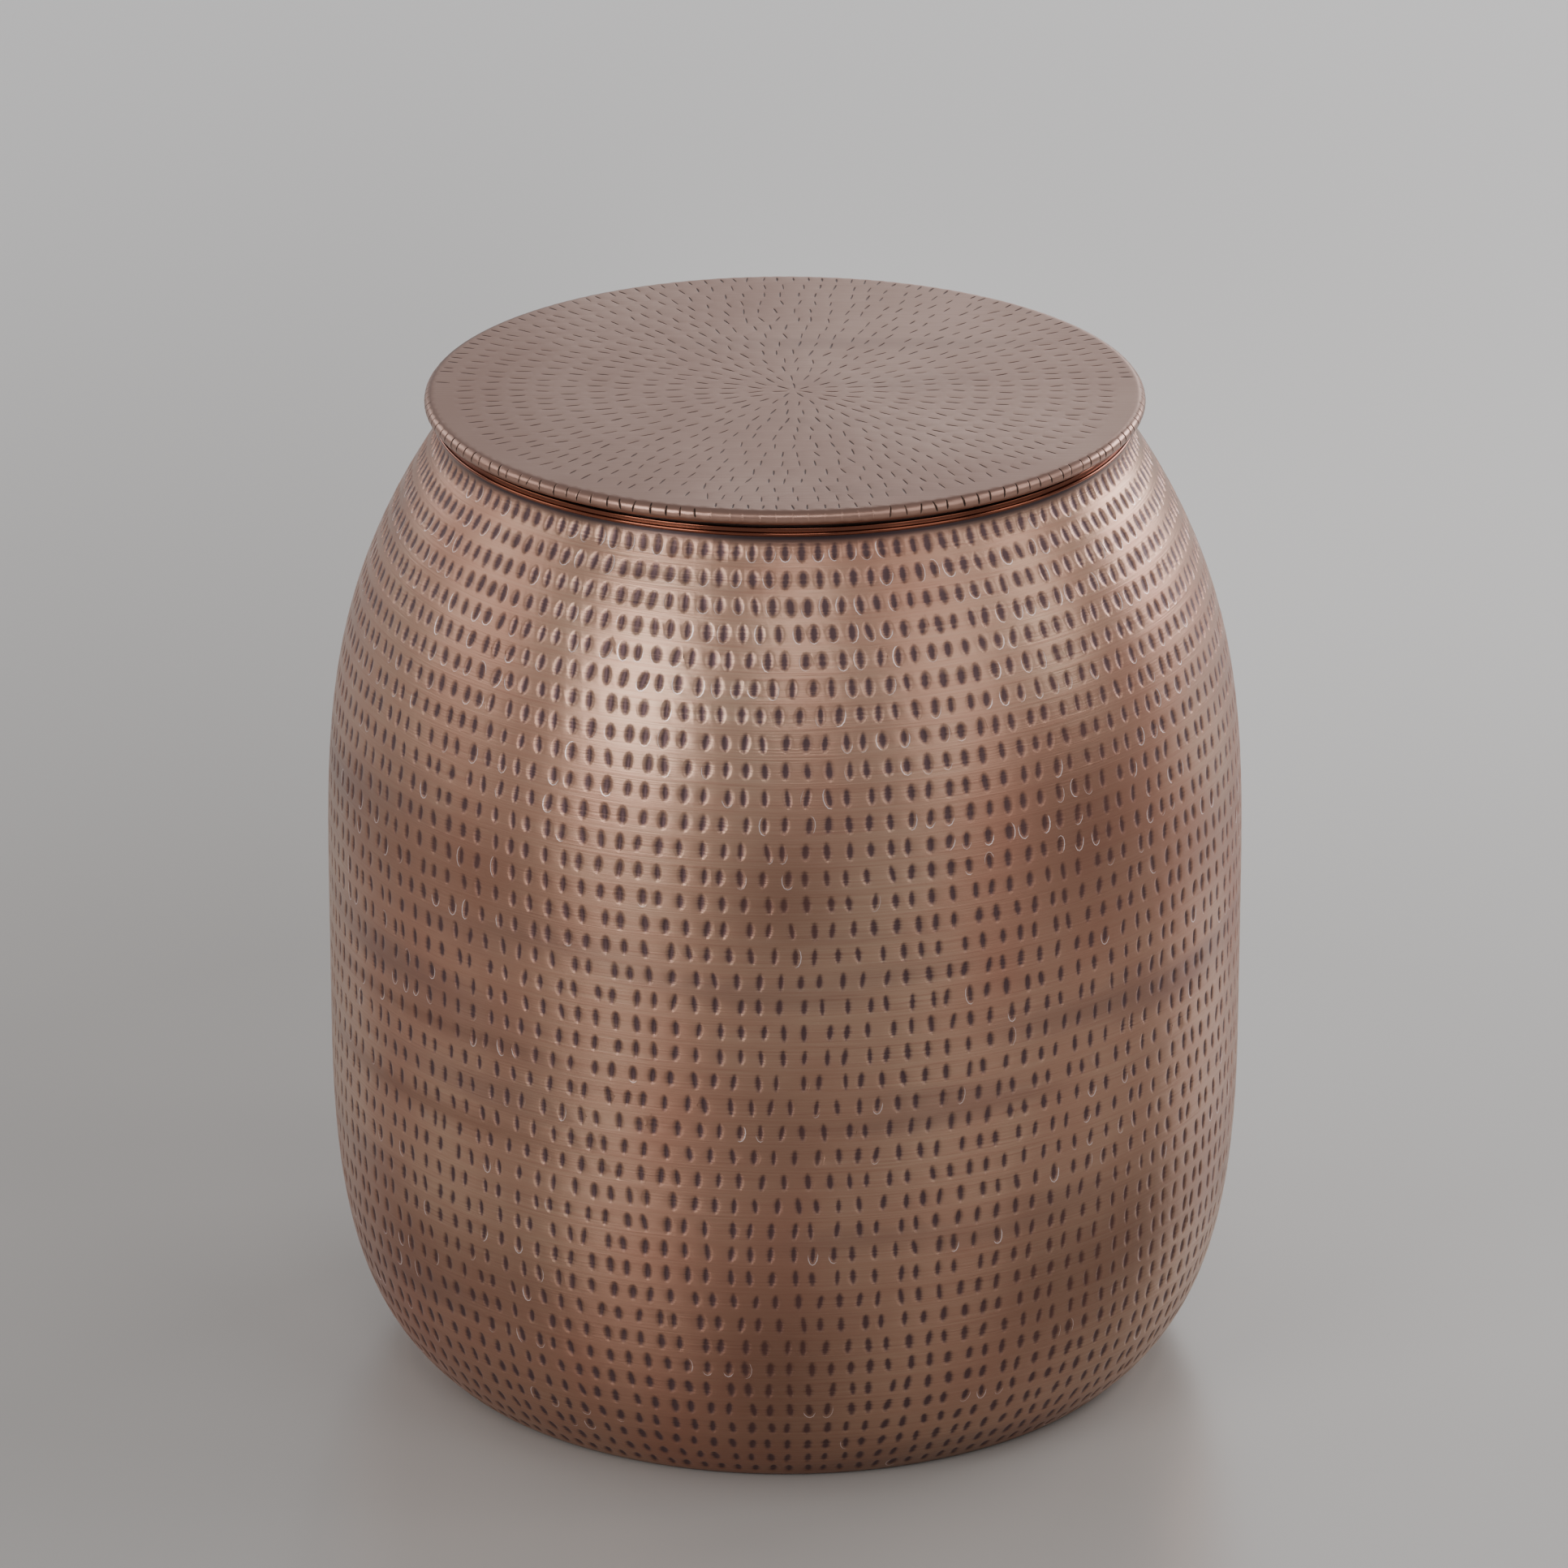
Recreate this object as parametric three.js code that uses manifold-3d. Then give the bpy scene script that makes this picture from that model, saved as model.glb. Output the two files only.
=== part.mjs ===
// Drum-shaped side table in hammered sheet metal with an antique copper finish.
// A barrel body stands on four glides, and a round tray top lifts out of its mouth.
// Millimetres, +Z up, origin on the floor at the middle of the drum.

import * as THREE from 'three';
import { mergeVertices } from 'three/addons/utils/BufferGeometryUtils.js';
import Module from 'manifold-3d';

// ---------------------------------------------------------------- driving dimensions

const RING_SEGMENTS = 48;
const GLIDE_SEGMENTS = 16;
const SCREW_SEGMENTS = 10;
const CURVE_STEPS = 8; // straight lengths along each long curve of the drum
const CLEARANCE = 0.3; // left between pieces that touch
const SHEET = 1.2; // drum sheet thickness
const HALVINGS = 40; // of the interval, when a height is looked up on a curve
const THROUGH = 1; // how far a cutter runs past the faces that it cuts through

// Drum profile: a straight belly, a curve drawn in to the foot and one to the shoulder.
const FLOOR_GAP = 0.8; // the glides hold the drum's edge this far off the floor
const FOOT_RADIUS = 162.6; // where the foot curve would meet the floor
const FOOT_LEAN = 50.6; // degrees from upright at the floor
const BELLY_RADIUS = 205;
const BELLY_LOW = 150;
const BELLY_HIGH = 206;
const SHOULDER_RADIUS = 157.2;
const SHOULDER_HEIGHT = 426.4;
const SHOULDER_LEAN = 33.1; // degrees from upright where the shoulder meets the neck
const CURVE_REACH = 88.4; // handle length of the long curves
const FOOT_REACH = 38.4; // handle length at the foot

const NECK_RADIUS = 152.2;
const NECK_TOP = 441.3;
const NECK_START = 438; // the neck is upright above this
const NECK_STEPS = 3;
const LIP_WIDTH = 7.5; // foot edge turned in under the base plate

const SEAM_HEIGHT = 178;
const SEAM_BAND_WIDTH = 24;
const SEAM_BAND_SHEET = 1;

// Collar: an upside-down channel over the neck, with a bead along its lower edge.
const COLLAR_RADIUS = 153.3;
const COLLAR_SHEET = 0.8;
const COLLAR_TOP = 442.4;
const COLLAR_BOTTOM = 438.8;
const BEAD_RADIUS = 0.95;
const BEAD_STANDS_OUT = 0.75; // bead centre outside the collar wall
const MOUTH_RADIUS = 149.8;
const COLLAR_RETURN_DEPTH = 5.4;
const COLLAR_CORNER = 0.6;
const BEAD_STEPS = 6;
const BEAD_END = 120; // degrees round from the outside where the bead meets the wall
const CORNER_STEPS = 2;

// Base plate, pressed up in the middle so that the glides sit in a recess.
const BASE_RECESS = 6; // underside of the raised middle
const BASE_RECESS_RADIUS = 147;
const BASE_STEP = 3.5; // radial run of the sloping step
const BASE_FLANGE_HEIGHT = 11;
const BASE_FLANGE_STEPS = 2;

const GLIDE_COUNT = 4;
const GLIDE_CIRCLE = 128;
const GLIDE_TURN = 45; // degrees from +X to the first glide
const GLIDE_RADIUS = 14;
const GLIDE_CHAMFER = 1;
const CROSS_WIDTH = 0.22; // of a screw's head radius
const GLIDE_SCREW = { shank: 2, head: 3.8, headHeight: 1.8, sink: 2.2, length: 10 };
const GLIDE_NUT = { acrossFlats: 7, thickness: 3.2 };
const SIDES_OF_NUT = 6;

// Tray top: a sheet wrapped over a board and rolled round a wire at the edge.
const TABLE_HEIGHT = 451.3;
const TRAY_SHEET = 0.9;
const ROLL_RADIUS = 3.3;
const TRAY_RADIUS = 158.9;
const ROLL_END = -150; // degrees, where the rolled edge stops under the tray
const ROLL_STEPS = 7;
const WIRE_SIDES = 8;
const BOARD_RADIUS = 151.6;
const BOARD_THICKNESS = 4;
const PILOT_HOLE_DEPTH = 3.5;

// Locating ring: screwed under the board, it drops into the mouth.
const RING_SHEET = 1.2;
const RING_INNER = 130;
const RING_OUTER = 152;
const SKIRT_RADIUS = 147.8;
const SKIRT_DEPTH = 15;
const RING_SCREW_COUNT = 4;
const RING_SCREW_CIRCLE = 137;
const RING_SCREW = { shank: 1.6, head: 3.2, headHeight: 1.4, length: 4.6 };

const PAD_COUNT = 4;
const PAD_STEPS = 5;
const PAD_SPREAD = 24; // degrees of the ring that each pad covers
const PAD_INNER = 150.1;
const PAD_OUTER = 151.9;

// ---------------------------------------------------------------- derived heights

const boardTop = TABLE_HEIGHT - TRAY_SHEET - CLEARANCE;
const boardBottom = boardTop - BOARD_THICKNESS;
const ringTop = boardBottom - CLEARANCE;
const ringBottom = ringTop - RING_SHEET;
const padTop = ringBottom - CLEARANCE;
const padBottom = COLLAR_TOP + CLEARANCE;
const glideTop = BASE_RECESS - CLEARANCE;

// ---------------------------------------------------------------- finishes

const FINISHES = {
  hammered_copper: { color: 0x9a6a53, roughness: 0.38, metalness: 1 },
  tray_copper: { color: 0x8e7368, roughness: 0.55, metalness: 0.9 },
  polished_copper: { color: 0xa4604a, roughness: 0.15, metalness: 1 },
  raw_steel: { color: 0x77736e, roughness: 0.5, metalness: 1 },
  zinc_screw: { color: 0xb4b6b8, roughness: 0.3, metalness: 1 },
  fibreboard: { color: 0x8a6b4c, roughness: 0.9, metalness: 0 },
  rubber: { color: 0x202020, roughness: 0.8, metalness: 0 },
};

const group = new THREE.Group();
const drum = new THREE.Group();
const tray = new THREE.Group();
group.add(drum, tray);

function addPiece(name, finish, geometry, parent) {
  const mesh = new THREE.Mesh(geometry, new THREE.MeshStandardMaterial(FINISHES[finish]));
  mesh.name = name;
  parent.add(mesh);
  return mesh;
}

// ---------------------------------------------------------------- solid helpers

const wasm = await Module();
wasm.setup();

function weld(geometry) {
  const bare = geometry.clone();
  bare.deleteAttribute('normal');
  bare.deleteAttribute('uv');
  return mergeVertices(bare);
}

function toSolid(geometry) {
  const welded = weld(geometry);
  const vertProperties = new Float32Array(welded.attributes.position.array);
  const triVerts = new Uint32Array(welded.index.array);
  return new wasm.Manifold(new wasm.Mesh({ numProp: 3, vertProperties, triVerts }));
}

function toGeometry(solid) {
  const mesh = solid.getMesh();
  const geometry = new THREE.BufferGeometry();
  geometry.setAttribute('position', new THREE.BufferAttribute(mesh.vertProperties, 3));
  geometry.setIndex(new THREE.BufferAttribute(mesh.triVerts, 1));
  geometry.computeVertexNormals();
  return geometry;
}

// Turns an outline of (radius, height) points about the Z axis. Outlines run
// anticlockwise, so outwards along the underside and up the outside.
function revolve(outline, segments = RING_SEGMENTS) {
  const points = outline.map(([radius, height]) => new THREE.Vector2(radius, height));
  const onAxis = points[0].x === 0;
  if (!onAxis) points.push(points[0].clone());
  return new THREE.LatheGeometry(points, segments).rotateX(Math.PI / 2);
}

// A plain disc or pin from z = low to z = high.
function pin(radius, low, high, segments) {
  return revolve([[0, low], [radius, low], [radius, high], [0, high]], segments);
}

function arcPoints(centre, radius, fromDegrees, toDegrees, steps) {
  const points = [];
  for (let step = 0; step <= steps; step += 1) {
    const degrees = THREE.MathUtils.lerp(fromDegrees, toDegrees, step / steps);
    const angle = THREE.MathUtils.degToRad(degrees);
    points.push([centre[0] + radius * Math.cos(angle), centre[1] + radius * Math.sin(angle)]);
  }
  return points;
}

function placeOnCircle(mesh, circle, index, count, offsetDegrees = 0) {
  const angle = THREE.MathUtils.degToRad(offsetDegrees + (360 * index) / count);
  mesh.position.set(circle * Math.cos(angle), circle * Math.sin(angle), 0);
  return mesh;
}

// Cuts one round hole for each fastener on a circle through a disc about the Z axis.
function cutHoles(geometry, circle, count, offsetDegrees, hole) {
  let solid = toSolid(geometry);
  for (let index = 0; index < count; index += 1) {
    const angle = THREE.MathUtils.degToRad(offsetDegrees + (360 * index) / count);
    const cutter = hole.clone().translate(circle * Math.cos(angle), circle * Math.sin(angle), 0);
    solid = solid.subtract(toSolid(cutter));
  }
  return toGeometry(solid);
}

// ---------------------------------------------------------------- drum profile

// A step of the given length, leaning outwards from straight up.
function lean(degrees, length) {
  const angle = THREE.MathUtils.degToRad(degrees);
  return new THREE.Vector2(length * Math.sin(angle), length * Math.cos(angle));
}

const footCurve = new THREE.CubicBezierCurve(
  new THREE.Vector2(FOOT_RADIUS, 0),
  new THREE.Vector2(FOOT_RADIUS, 0).add(lean(FOOT_LEAN, FOOT_REACH)),
  new THREE.Vector2(BELLY_RADIUS, BELLY_LOW - CURVE_REACH),
  new THREE.Vector2(BELLY_RADIUS, BELLY_LOW),
);

const shoulderCurve = new THREE.CubicBezierCurve(
  new THREE.Vector2(BELLY_RADIUS, BELLY_HIGH),
  new THREE.Vector2(BELLY_RADIUS, BELLY_HIGH + CURVE_REACH),
  new THREE.Vector2(SHOULDER_RADIUS, SHOULDER_HEIGHT).add(lean(180 - SHOULDER_LEAN, CURVE_REACH)),
  new THREE.Vector2(SHOULDER_RADIUS, SHOULDER_HEIGHT),
);

const neckRun = (SHOULDER_RADIUS - NECK_RADIUS) / Math.tan(THREE.MathUtils.degToRad(SHOULDER_LEAN));

const neckCurve = new THREE.QuadraticBezierCurve(
  new THREE.Vector2(SHOULDER_RADIUS, SHOULDER_HEIGHT),
  new THREE.Vector2(NECK_RADIUS, SHOULDER_HEIGHT + neckRun),
  new THREE.Vector2(NECK_RADIUS, NECK_START),
);

// Where along a curve it is at the given height.
function parameterAt(curve, height) {
  let low = 0;
  let high = 1;
  for (let halving = 0; halving < HALVINGS; halving += 1) {
    const middle = (low + high) / 2;
    if (curve.getPoint(middle).y < height) low = middle;
    else high = middle;
  }
  return (low + high) / 2;
}

// Points along a curve, moved in towards the hollow by inset.
function insetPoints(curve, from, to, steps, inset) {
  const points = [];
  for (let step = 0; step <= steps; step += 1) {
    const t = THREE.MathUtils.lerp(from, to, step / steps);
    const place = curve.getPoint(t);
    const along = curve.getTangent(t);
    points.push([place.x - along.y * inset, place.y + along.x * inset]);
  }
  return points;
}

const footStart = parameterAt(footCurve, FLOOR_GAP);

// ---------------------------------------------------------------- drum pieces

// The lower half of the drum wall, with its foot edge turned in to a narrow lip.
function lowerShell() {
  const seam = SEAM_HEIGHT - CLEARANCE / 2;
  const outside = insetPoints(footCurve, footStart, 1, CURVE_STEPS, 0);
  const inside = insetPoints(footCurve, footStart, 1, CURVE_STEPS, SHEET).slice(1).reverse();
  const footRadius = outside[0][0];
  const lipTop = FLOOR_GAP + SHEET;
  return revolve([
    [footRadius - LIP_WIDTH, FLOOR_GAP],
    ...outside,
    [BELLY_RADIUS, seam],
    [BELLY_RADIUS - SHEET, seam],
    ...inside,
    [footRadius - SHEET / 2, lipTop],
    [footRadius - LIP_WIDTH, lipTop],
  ]);
}

// The upper half of the drum wall: belly, shoulder and the upright neck.
function upperShell() {
  const seam = SEAM_HEIGHT + CLEARANCE / 2;
  const wall = (inset) => [
    [BELLY_RADIUS - inset, seam],
    ...insetPoints(shoulderCurve, 0, 1, CURVE_STEPS, inset),
    ...insetPoints(neckCurve, 0, 1, NECK_STEPS, inset).slice(1),
    [NECK_RADIUS - inset, NECK_TOP],
  ];
  return revolve([...wall(0), ...wall(SHEET).reverse()]);
}

// A strip spot-welded inside the drum across the joint between its halves.
function seamBand() {
  const outer = BELLY_RADIUS - SHEET - CLEARANCE;
  const inner = outer - SEAM_BAND_SHEET;
  const low = SEAM_HEIGHT - SEAM_BAND_WIDTH / 2;
  const high = SEAM_HEIGHT + SEAM_BAND_WIDTH / 2;
  return revolve([[inner, low], [outer, low], [outer, high], [inner, high]]);
}

// The polished ring that caps the neck and forms the mouth.
function neckCollar() {
  const wallInside = COLLAR_RADIUS - COLLAR_SHEET;
  const beadCentre = [COLLAR_RADIUS + BEAD_STANDS_OUT, COLLAR_BOTTOM + BEAD_RADIUS];
  const lipUnderside = COLLAR_TOP - COLLAR_SHEET;
  const returnInside = MOUTH_RADIUS + COLLAR_SHEET;
  const outerCorner = [COLLAR_RADIUS - COLLAR_CORNER, COLLAR_TOP - COLLAR_CORNER];
  const innerCorner = [MOUTH_RADIUS + COLLAR_CORNER, COLLAR_TOP - COLLAR_CORNER];
  const returnBottom = COLLAR_TOP - COLLAR_RETURN_DEPTH;
  return revolve([
    [wallInside, COLLAR_BOTTOM],
    ...arcPoints(beadCentre, BEAD_RADIUS, -90, BEAD_END, BEAD_STEPS),
    ...arcPoints(outerCorner, COLLAR_CORNER, 0, 90, CORNER_STEPS),
    ...arcPoints(innerCorner, COLLAR_CORNER, 90, 180, CORNER_STEPS),
    [MOUTH_RADIUS, returnBottom],
    [returnInside, returnBottom],
    [returnInside, lipUnderside],
    [wallInside, lipUnderside],
  ]);
}

// The drum's floor. Its edge rests on the foot lip and turns up inside the wall.
function basePlate() {
  const backing = SHEET + CLEARANCE;
  const seat = FLOOR_GAP + SHEET + CLEARANCE;
  const end = parameterAt(footCurve, BASE_FLANGE_HEIGHT);
  const bend = parameterAt(footCurve, FLOOR_GAP + SHEET / 2);
  const outside = insetPoints(footCurve, bend, end, BASE_FLANGE_STEPS, backing);
  const insideBend = parameterAt(footCurve, FLOOR_GAP + SHEET);
  const inside = insetPoints(footCurve, insideBend, end, BASE_FLANGE_STEPS, backing + SHEET).reverse();
  const stepRadius = BASE_RECESS_RADIUS + BASE_STEP;
  const plate = revolve([
    [0, BASE_RECESS],
    [BASE_RECESS_RADIUS, BASE_RECESS],
    [stepRadius, seat],
    [outside[0][0] - SHEET, seat],
    ...outside,
    ...inside,
    [stepRadius + SHEET / 2, seat + SHEET],
    [BASE_RECESS_RADIUS + SHEET / 2, BASE_RECESS + SHEET],
    [0, BASE_RECESS + SHEET],
  ]);
  const hole = pin(
    GLIDE_SCREW.shank + CLEARANCE,
    BASE_RECESS - THROUGH,
    BASE_RECESS + SHEET + THROUGH,
    SCREW_SEGMENTS,
  );
  return cutHoles(plate, GLIDE_CIRCLE, GLIDE_COUNT, GLIDE_TURN, hole);
}

// A round plastic foot with a counterbored hole for its screw.
function glide() {
  const bore = GLIDE_SCREW.shank + CLEARANCE;
  const sinkRadius = GLIDE_SCREW.head + CLEARANCE;
  const sinkTop = GLIDE_SCREW.sink + CLEARANCE;
  return revolve(
    [
      [sinkRadius, 0],
      [GLIDE_RADIUS - GLIDE_CHAMFER, 0],
      [GLIDE_RADIUS, GLIDE_CHAMFER],
      [GLIDE_RADIUS, glideTop],
      [bore, glideTop],
      [bore, sinkTop],
      [sinkRadius, sinkTop],
    ],
    GLIDE_SEGMENTS,
  );
}

// A pan-head screw with a cross recess, its head towards -Z at headLow.
function screw(size, headLow) {
  const headTop = headLow + size.headHeight;
  const halfHead = size.headHeight / 2;
  const body = revolve(
    [
      [0, headLow],
      [size.head - halfHead, headLow],
      [size.head, headLow + halfHead],
      [size.head, headTop],
      [size.shank, headTop],
      [size.shank, headTop + size.length - size.shank],
      [0, headTop + size.length],
    ],
    SCREW_SEGMENTS,
  );
  const slot = new THREE.BoxGeometry(size.head, size.head * CROSS_WIDTH, size.headHeight);
  slot.translate(0, 0, headLow);
  const crossed = slot.clone().rotateZ(Math.PI / 2);
  return toGeometry(toSolid(body).subtract(toSolid(slot)).subtract(toSolid(crossed)));
}

// A hexagon nut that clamps a glide screw on the inside of the base plate.
function glideNut() {
  const low = BASE_RECESS + SHEET + CLEARANCE;
  const cornerRadius = GLIDE_NUT.acrossFlats / 2 / Math.cos(Math.PI / SIDES_OF_NUT);
  const blank = pin(cornerRadius, low, low + GLIDE_NUT.thickness, SIDES_OF_NUT);
  const holeRadius = GLIDE_SCREW.shank + CLEARANCE;
  const hole = pin(holeRadius, low - THROUGH, low + GLIDE_NUT.thickness + THROUGH, SCREW_SEGMENTS);
  return toGeometry(toSolid(blank).subtract(toSolid(hole)));
}

// ---------------------------------------------------------------- tray pieces

const rollCentre = [TRAY_RADIUS - ROLL_RADIUS, TABLE_HEIGHT - ROLL_RADIUS];

// The hammered sheet on top, its edge rolled down and under to an open hook.
function trayTop() {
  const insideRadius = ROLL_RADIUS - TRAY_SHEET;
  return revolve([
    [0, TABLE_HEIGHT - TRAY_SHEET],
    ...arcPoints(rollCentre, insideRadius, 90, ROLL_END, ROLL_STEPS),
    ...arcPoints(rollCentre, ROLL_RADIUS, ROLL_END, 90, ROLL_STEPS),
    [0, TABLE_HEIGHT],
  ]);
}

// The wire that the edge is rolled round.
function trayRimWire() {
  const wireRadius = ROLL_RADIUS - TRAY_SHEET - CLEARANCE;
  const wire = new THREE.TorusGeometry(rollCentre[0], wireRadius, WIRE_SIDES, RING_SEGMENTS);
  return wire.translate(0, 0, rollCentre[1]);
}

// The fibreboard disc that backs the sheet and takes the ring's screws.
function trayBoard() {
  const board = pin(BOARD_RADIUS, boardBottom, boardTop);
  const holeRadius = RING_SCREW.shank + CLEARANCE;
  const holeTop = boardBottom + PILOT_HOLE_DEPTH;
  const hole = pin(holeRadius, boardBottom - THROUGH, holeTop, SCREW_SEGMENTS);
  return cutHoles(board, RING_SCREW_CIRCLE, RING_SCREW_COUNT, 0, hole);
}

// A flat ring with a short skirt that centres the tray in the mouth.
function locatingRing() {
  const skirtInner = SKIRT_RADIUS - RING_SHEET;
  const skirtBottom = ringBottom - SKIRT_DEPTH;
  const ring = revolve([
    [RING_INNER, ringBottom],
    [skirtInner, ringBottom],
    [skirtInner, skirtBottom],
    [SKIRT_RADIUS, skirtBottom],
    [SKIRT_RADIUS, ringBottom],
    [RING_OUTER, ringBottom],
    [RING_OUTER, ringTop],
    [RING_INNER, ringTop],
  ]);
  const holeRadius = RING_SCREW.shank + CLEARANCE;
  const hole = pin(holeRadius, ringBottom - THROUGH, ringTop + THROUGH, SCREW_SEGMENTS);
  return cutHoles(ring, RING_SCREW_CIRCLE, RING_SCREW_COUNT, 0, hole);
}

// A short arc of rubber strip under the locating ring, where the tray rests on the collar.
function restPad() {
  const half = THREE.MathUtils.degToRad(PAD_SPREAD / 2);
  const outline = new THREE.Shape();
  outline.absarc(0, 0, PAD_OUTER, -half, half, false);
  outline.absarc(0, 0, PAD_INNER, half, -half, true);
  const depth = padTop - padBottom;
  const options = { depth, bevelEnabled: false, curveSegments: PAD_STEPS };
  const pad = new THREE.ExtrudeGeometry(outline, options);
  return pad.translate(0, 0, padBottom);
}

// ---------------------------------------------------------------- assembly

addPiece('lower_shell', 'hammered_copper', lowerShell(), drum);
addPiece('upper_shell', 'hammered_copper', upperShell(), drum);
addPiece('seam_band', 'raw_steel', seamBand(), drum);
addPiece('neck_collar', 'polished_copper', neckCollar(), drum);
addPiece('base_plate', 'raw_steel', basePlate(), drum);

for (let index = 0; index < GLIDE_COUNT; index += 1) {
  const foot = addPiece(`glide_${index + 1}`, 'rubber', glide(), drum);
  placeOnCircle(foot, GLIDE_CIRCLE, index, GLIDE_COUNT, GLIDE_TURN);
  const headLow = GLIDE_SCREW.sink - GLIDE_SCREW.headHeight;
  const fixing = addPiece(`glide_screw_${index + 1}`, 'zinc_screw', screw(GLIDE_SCREW, headLow), drum);
  placeOnCircle(fixing, GLIDE_CIRCLE, index, GLIDE_COUNT, GLIDE_TURN);
  const nut = addPiece(`glide_nut_${index + 1}`, 'zinc_screw', glideNut(), drum);
  placeOnCircle(nut, GLIDE_CIRCLE, index, GLIDE_COUNT, GLIDE_TURN);
}

addPiece('tray_top', 'tray_copper', trayTop(), tray);
addPiece('tray_rim_wire', 'raw_steel', trayRimWire(), tray);
addPiece('tray_board', 'fibreboard', trayBoard(), tray);
addPiece('locating_ring', 'raw_steel', locatingRing(), tray);

for (let index = 0; index < RING_SCREW_COUNT; index += 1) {
  const headLow = ringBottom - CLEARANCE - RING_SCREW.headHeight;
  const fixing = addPiece(`ring_screw_${index + 1}`, 'zinc_screw', screw(RING_SCREW, headLow), tray);
  placeOnCircle(fixing, RING_SCREW_CIRCLE, index, RING_SCREW_COUNT);
}

for (let index = 0; index < PAD_COUNT; index += 1) {
  const pad = addPiece(`rest_pad_${index + 1}`, 'rubber', restPad(), tray);
  pad.rotation.z = THREE.MathUtils.degToRad((360 * (index + 0.5)) / PAD_COUNT);
}

export default group;
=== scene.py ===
"""Looks of a barrel-shaped side table in hammered copper, with a flat tray top that lifts off.

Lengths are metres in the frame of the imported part: +Z up, origin on the floor under the drum.
"""

import math

import bpy
import numpy as np
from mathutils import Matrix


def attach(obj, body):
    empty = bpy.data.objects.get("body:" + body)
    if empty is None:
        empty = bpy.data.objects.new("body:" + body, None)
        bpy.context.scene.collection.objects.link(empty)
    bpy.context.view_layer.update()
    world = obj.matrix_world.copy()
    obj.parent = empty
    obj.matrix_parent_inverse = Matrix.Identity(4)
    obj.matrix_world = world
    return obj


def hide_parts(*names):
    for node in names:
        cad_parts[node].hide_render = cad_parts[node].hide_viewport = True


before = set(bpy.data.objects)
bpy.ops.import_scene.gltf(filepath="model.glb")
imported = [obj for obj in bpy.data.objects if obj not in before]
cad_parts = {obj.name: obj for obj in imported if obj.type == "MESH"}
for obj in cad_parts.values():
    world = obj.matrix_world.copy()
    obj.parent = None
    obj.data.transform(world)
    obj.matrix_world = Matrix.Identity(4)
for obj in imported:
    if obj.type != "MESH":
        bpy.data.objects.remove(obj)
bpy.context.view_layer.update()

MM = 0.001
dice = np.random.default_rng(721)

# ---------------------------------------------------------------- driving dimensions

SHEET = 1.2 * MM  # drum sheet
CLEARANCE = 0.3 * MM  # between pieces that are only pressed or screwed together
SEAM_HEIGHT = 178 * MM  # where the two halves of the drum meet
FLOOR_GAP = 0.8 * MM
FOOT_LIP_WIDTH = 7.5 * MM  # foot edge turned in
FOOT_CORNER = 0.3 * MM  # where the lip meets the wall
FOOT_LIP_POINTS = 6
FOOT_LIP_CIRCLES = 4

# The drum's outline: foot, straight belly, shoulder, then the neck inside the collar. The curves are
# given by their control points, (radius, height) in metres.
BELLY_RADIUS = 205 * MM
NECK_RADIUS = 152.2 * MM
FOOT_CURVE = [(0.1626, 0), (0.19227, 0.02437), (0.205, 0.0616), (0.205, 0.15)]
SHOULDER_CURVE = [(0.205, 0.206), (0.205, 0.2944), (0.20548, 0.35235), (0.1572, 0.4264)]
NECK_CURVE = [(0.1572, 0.4264), (0.1522, 0.43407), (0.1522, 0.438)]
NECK_TOP = 441.3 * MM
CURVE_POINTS = 160
NECK_POINTS = 40
UPPER_INSIDE_CIRCLES = 40
LOWER_INSIDE_CIRCLES = 30
INSIDE_CORNER = (2 * MM, 1 * MM)  # the inside turns on to the lip this far before and past its corner

# Dents in the drum wall, in level rows.
DENTS_PER_ROW = 140
WALL_NODES = 2 * DENTS_PER_ROW  # points in each level circle of the wall
SEAM_PHASE = 0.3  # both halves start their circles here at the seam, in nodes
ROW_HEIGHT = 11.7 * MM
TOP_ROW_EDGE = 437 * MM  # height where the first row under the collar starts
LOWEST_ROW_EDGE = 2.6 * MM
DENT_HALF_WIDTH = 1.8 * MM
DENT_HALF_HEIGHT = 4.15 * MM
DENT_DEPTH = 0.64 * MM
DENT_SWAY = 1.9 * MM  # how far a dent may stand to one side of its place
DENT_CLIMB = 0.3 * MM  # and above or below it
DENT_TILT = 5  # degrees
DENT_MARGIN = 0.1 * MM  # left free at each side of a cell
DENT_WIDTHS = (0.82, 1.14)  # narrowest and widest, as shares of the usual width
DENT_HEIGHTS = (0.84, 1.04)
DENT_DEPTHS = (0.75, 1.15)
SLIM_HEIGHTS = [0, 75 * MM, 115 * MM, 235 * MM, 285 * MM, NECK_TOP]
SLIM_SHARES = [1.0, 0.98, 0.84, 0.82, 0.98, 1.1]  # the dents are slimmer on the straight belly
COLUMN_SWING = 2.2  # how far the upright columns of dents swing sideways, in nodes
COLUMN_WAVE = 55 * MM
QUICK_SWING = 0.5  # a second, smaller swing on top of the first: its share
QUICK_PACE = 2.3  # and how much faster it comes round

# The lip of metal that the punch threw up beside some of the dents; the material paints the lips pale
# pink-white as a painted highlight.
LIP_CREST = 0.85 * MM  # from the edge of a dent out to the top of its lip
LIP_FOOT = 1.3 * MM
LIP_RISE = 0.05 * MM
LIP_HEIGHTS = [0.0, 0.1, 0.24, 0.33, 0.4, NECK_TOP]  # metres
LIP_CHANCES = [0.1, -0.1, -0.08, 0.25, 0.5, 0.4]  # of a dent having a lip, at those heights
LIP_WAVES = (3, 5, 9, 14)  # the lips come in groups: waves of so many turns round the drum
LIP_GROUPING = 0.2  # how much each wave changes the chance
MOST_LIPS = 0.9
LIP_STRENGTHS = (0.7, 1.0)
LIP_ONE_SIDED = 0.9  # how much stronger a lip is on the side that it faces
LIP_SIDE = -90  # degrees: most lips are under their dent
LIP_SIDE_SPREAD = 50
LIP_ROUNDNESS = (0.0, 0.8)  # how far a lip reaches right round its dent
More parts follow.
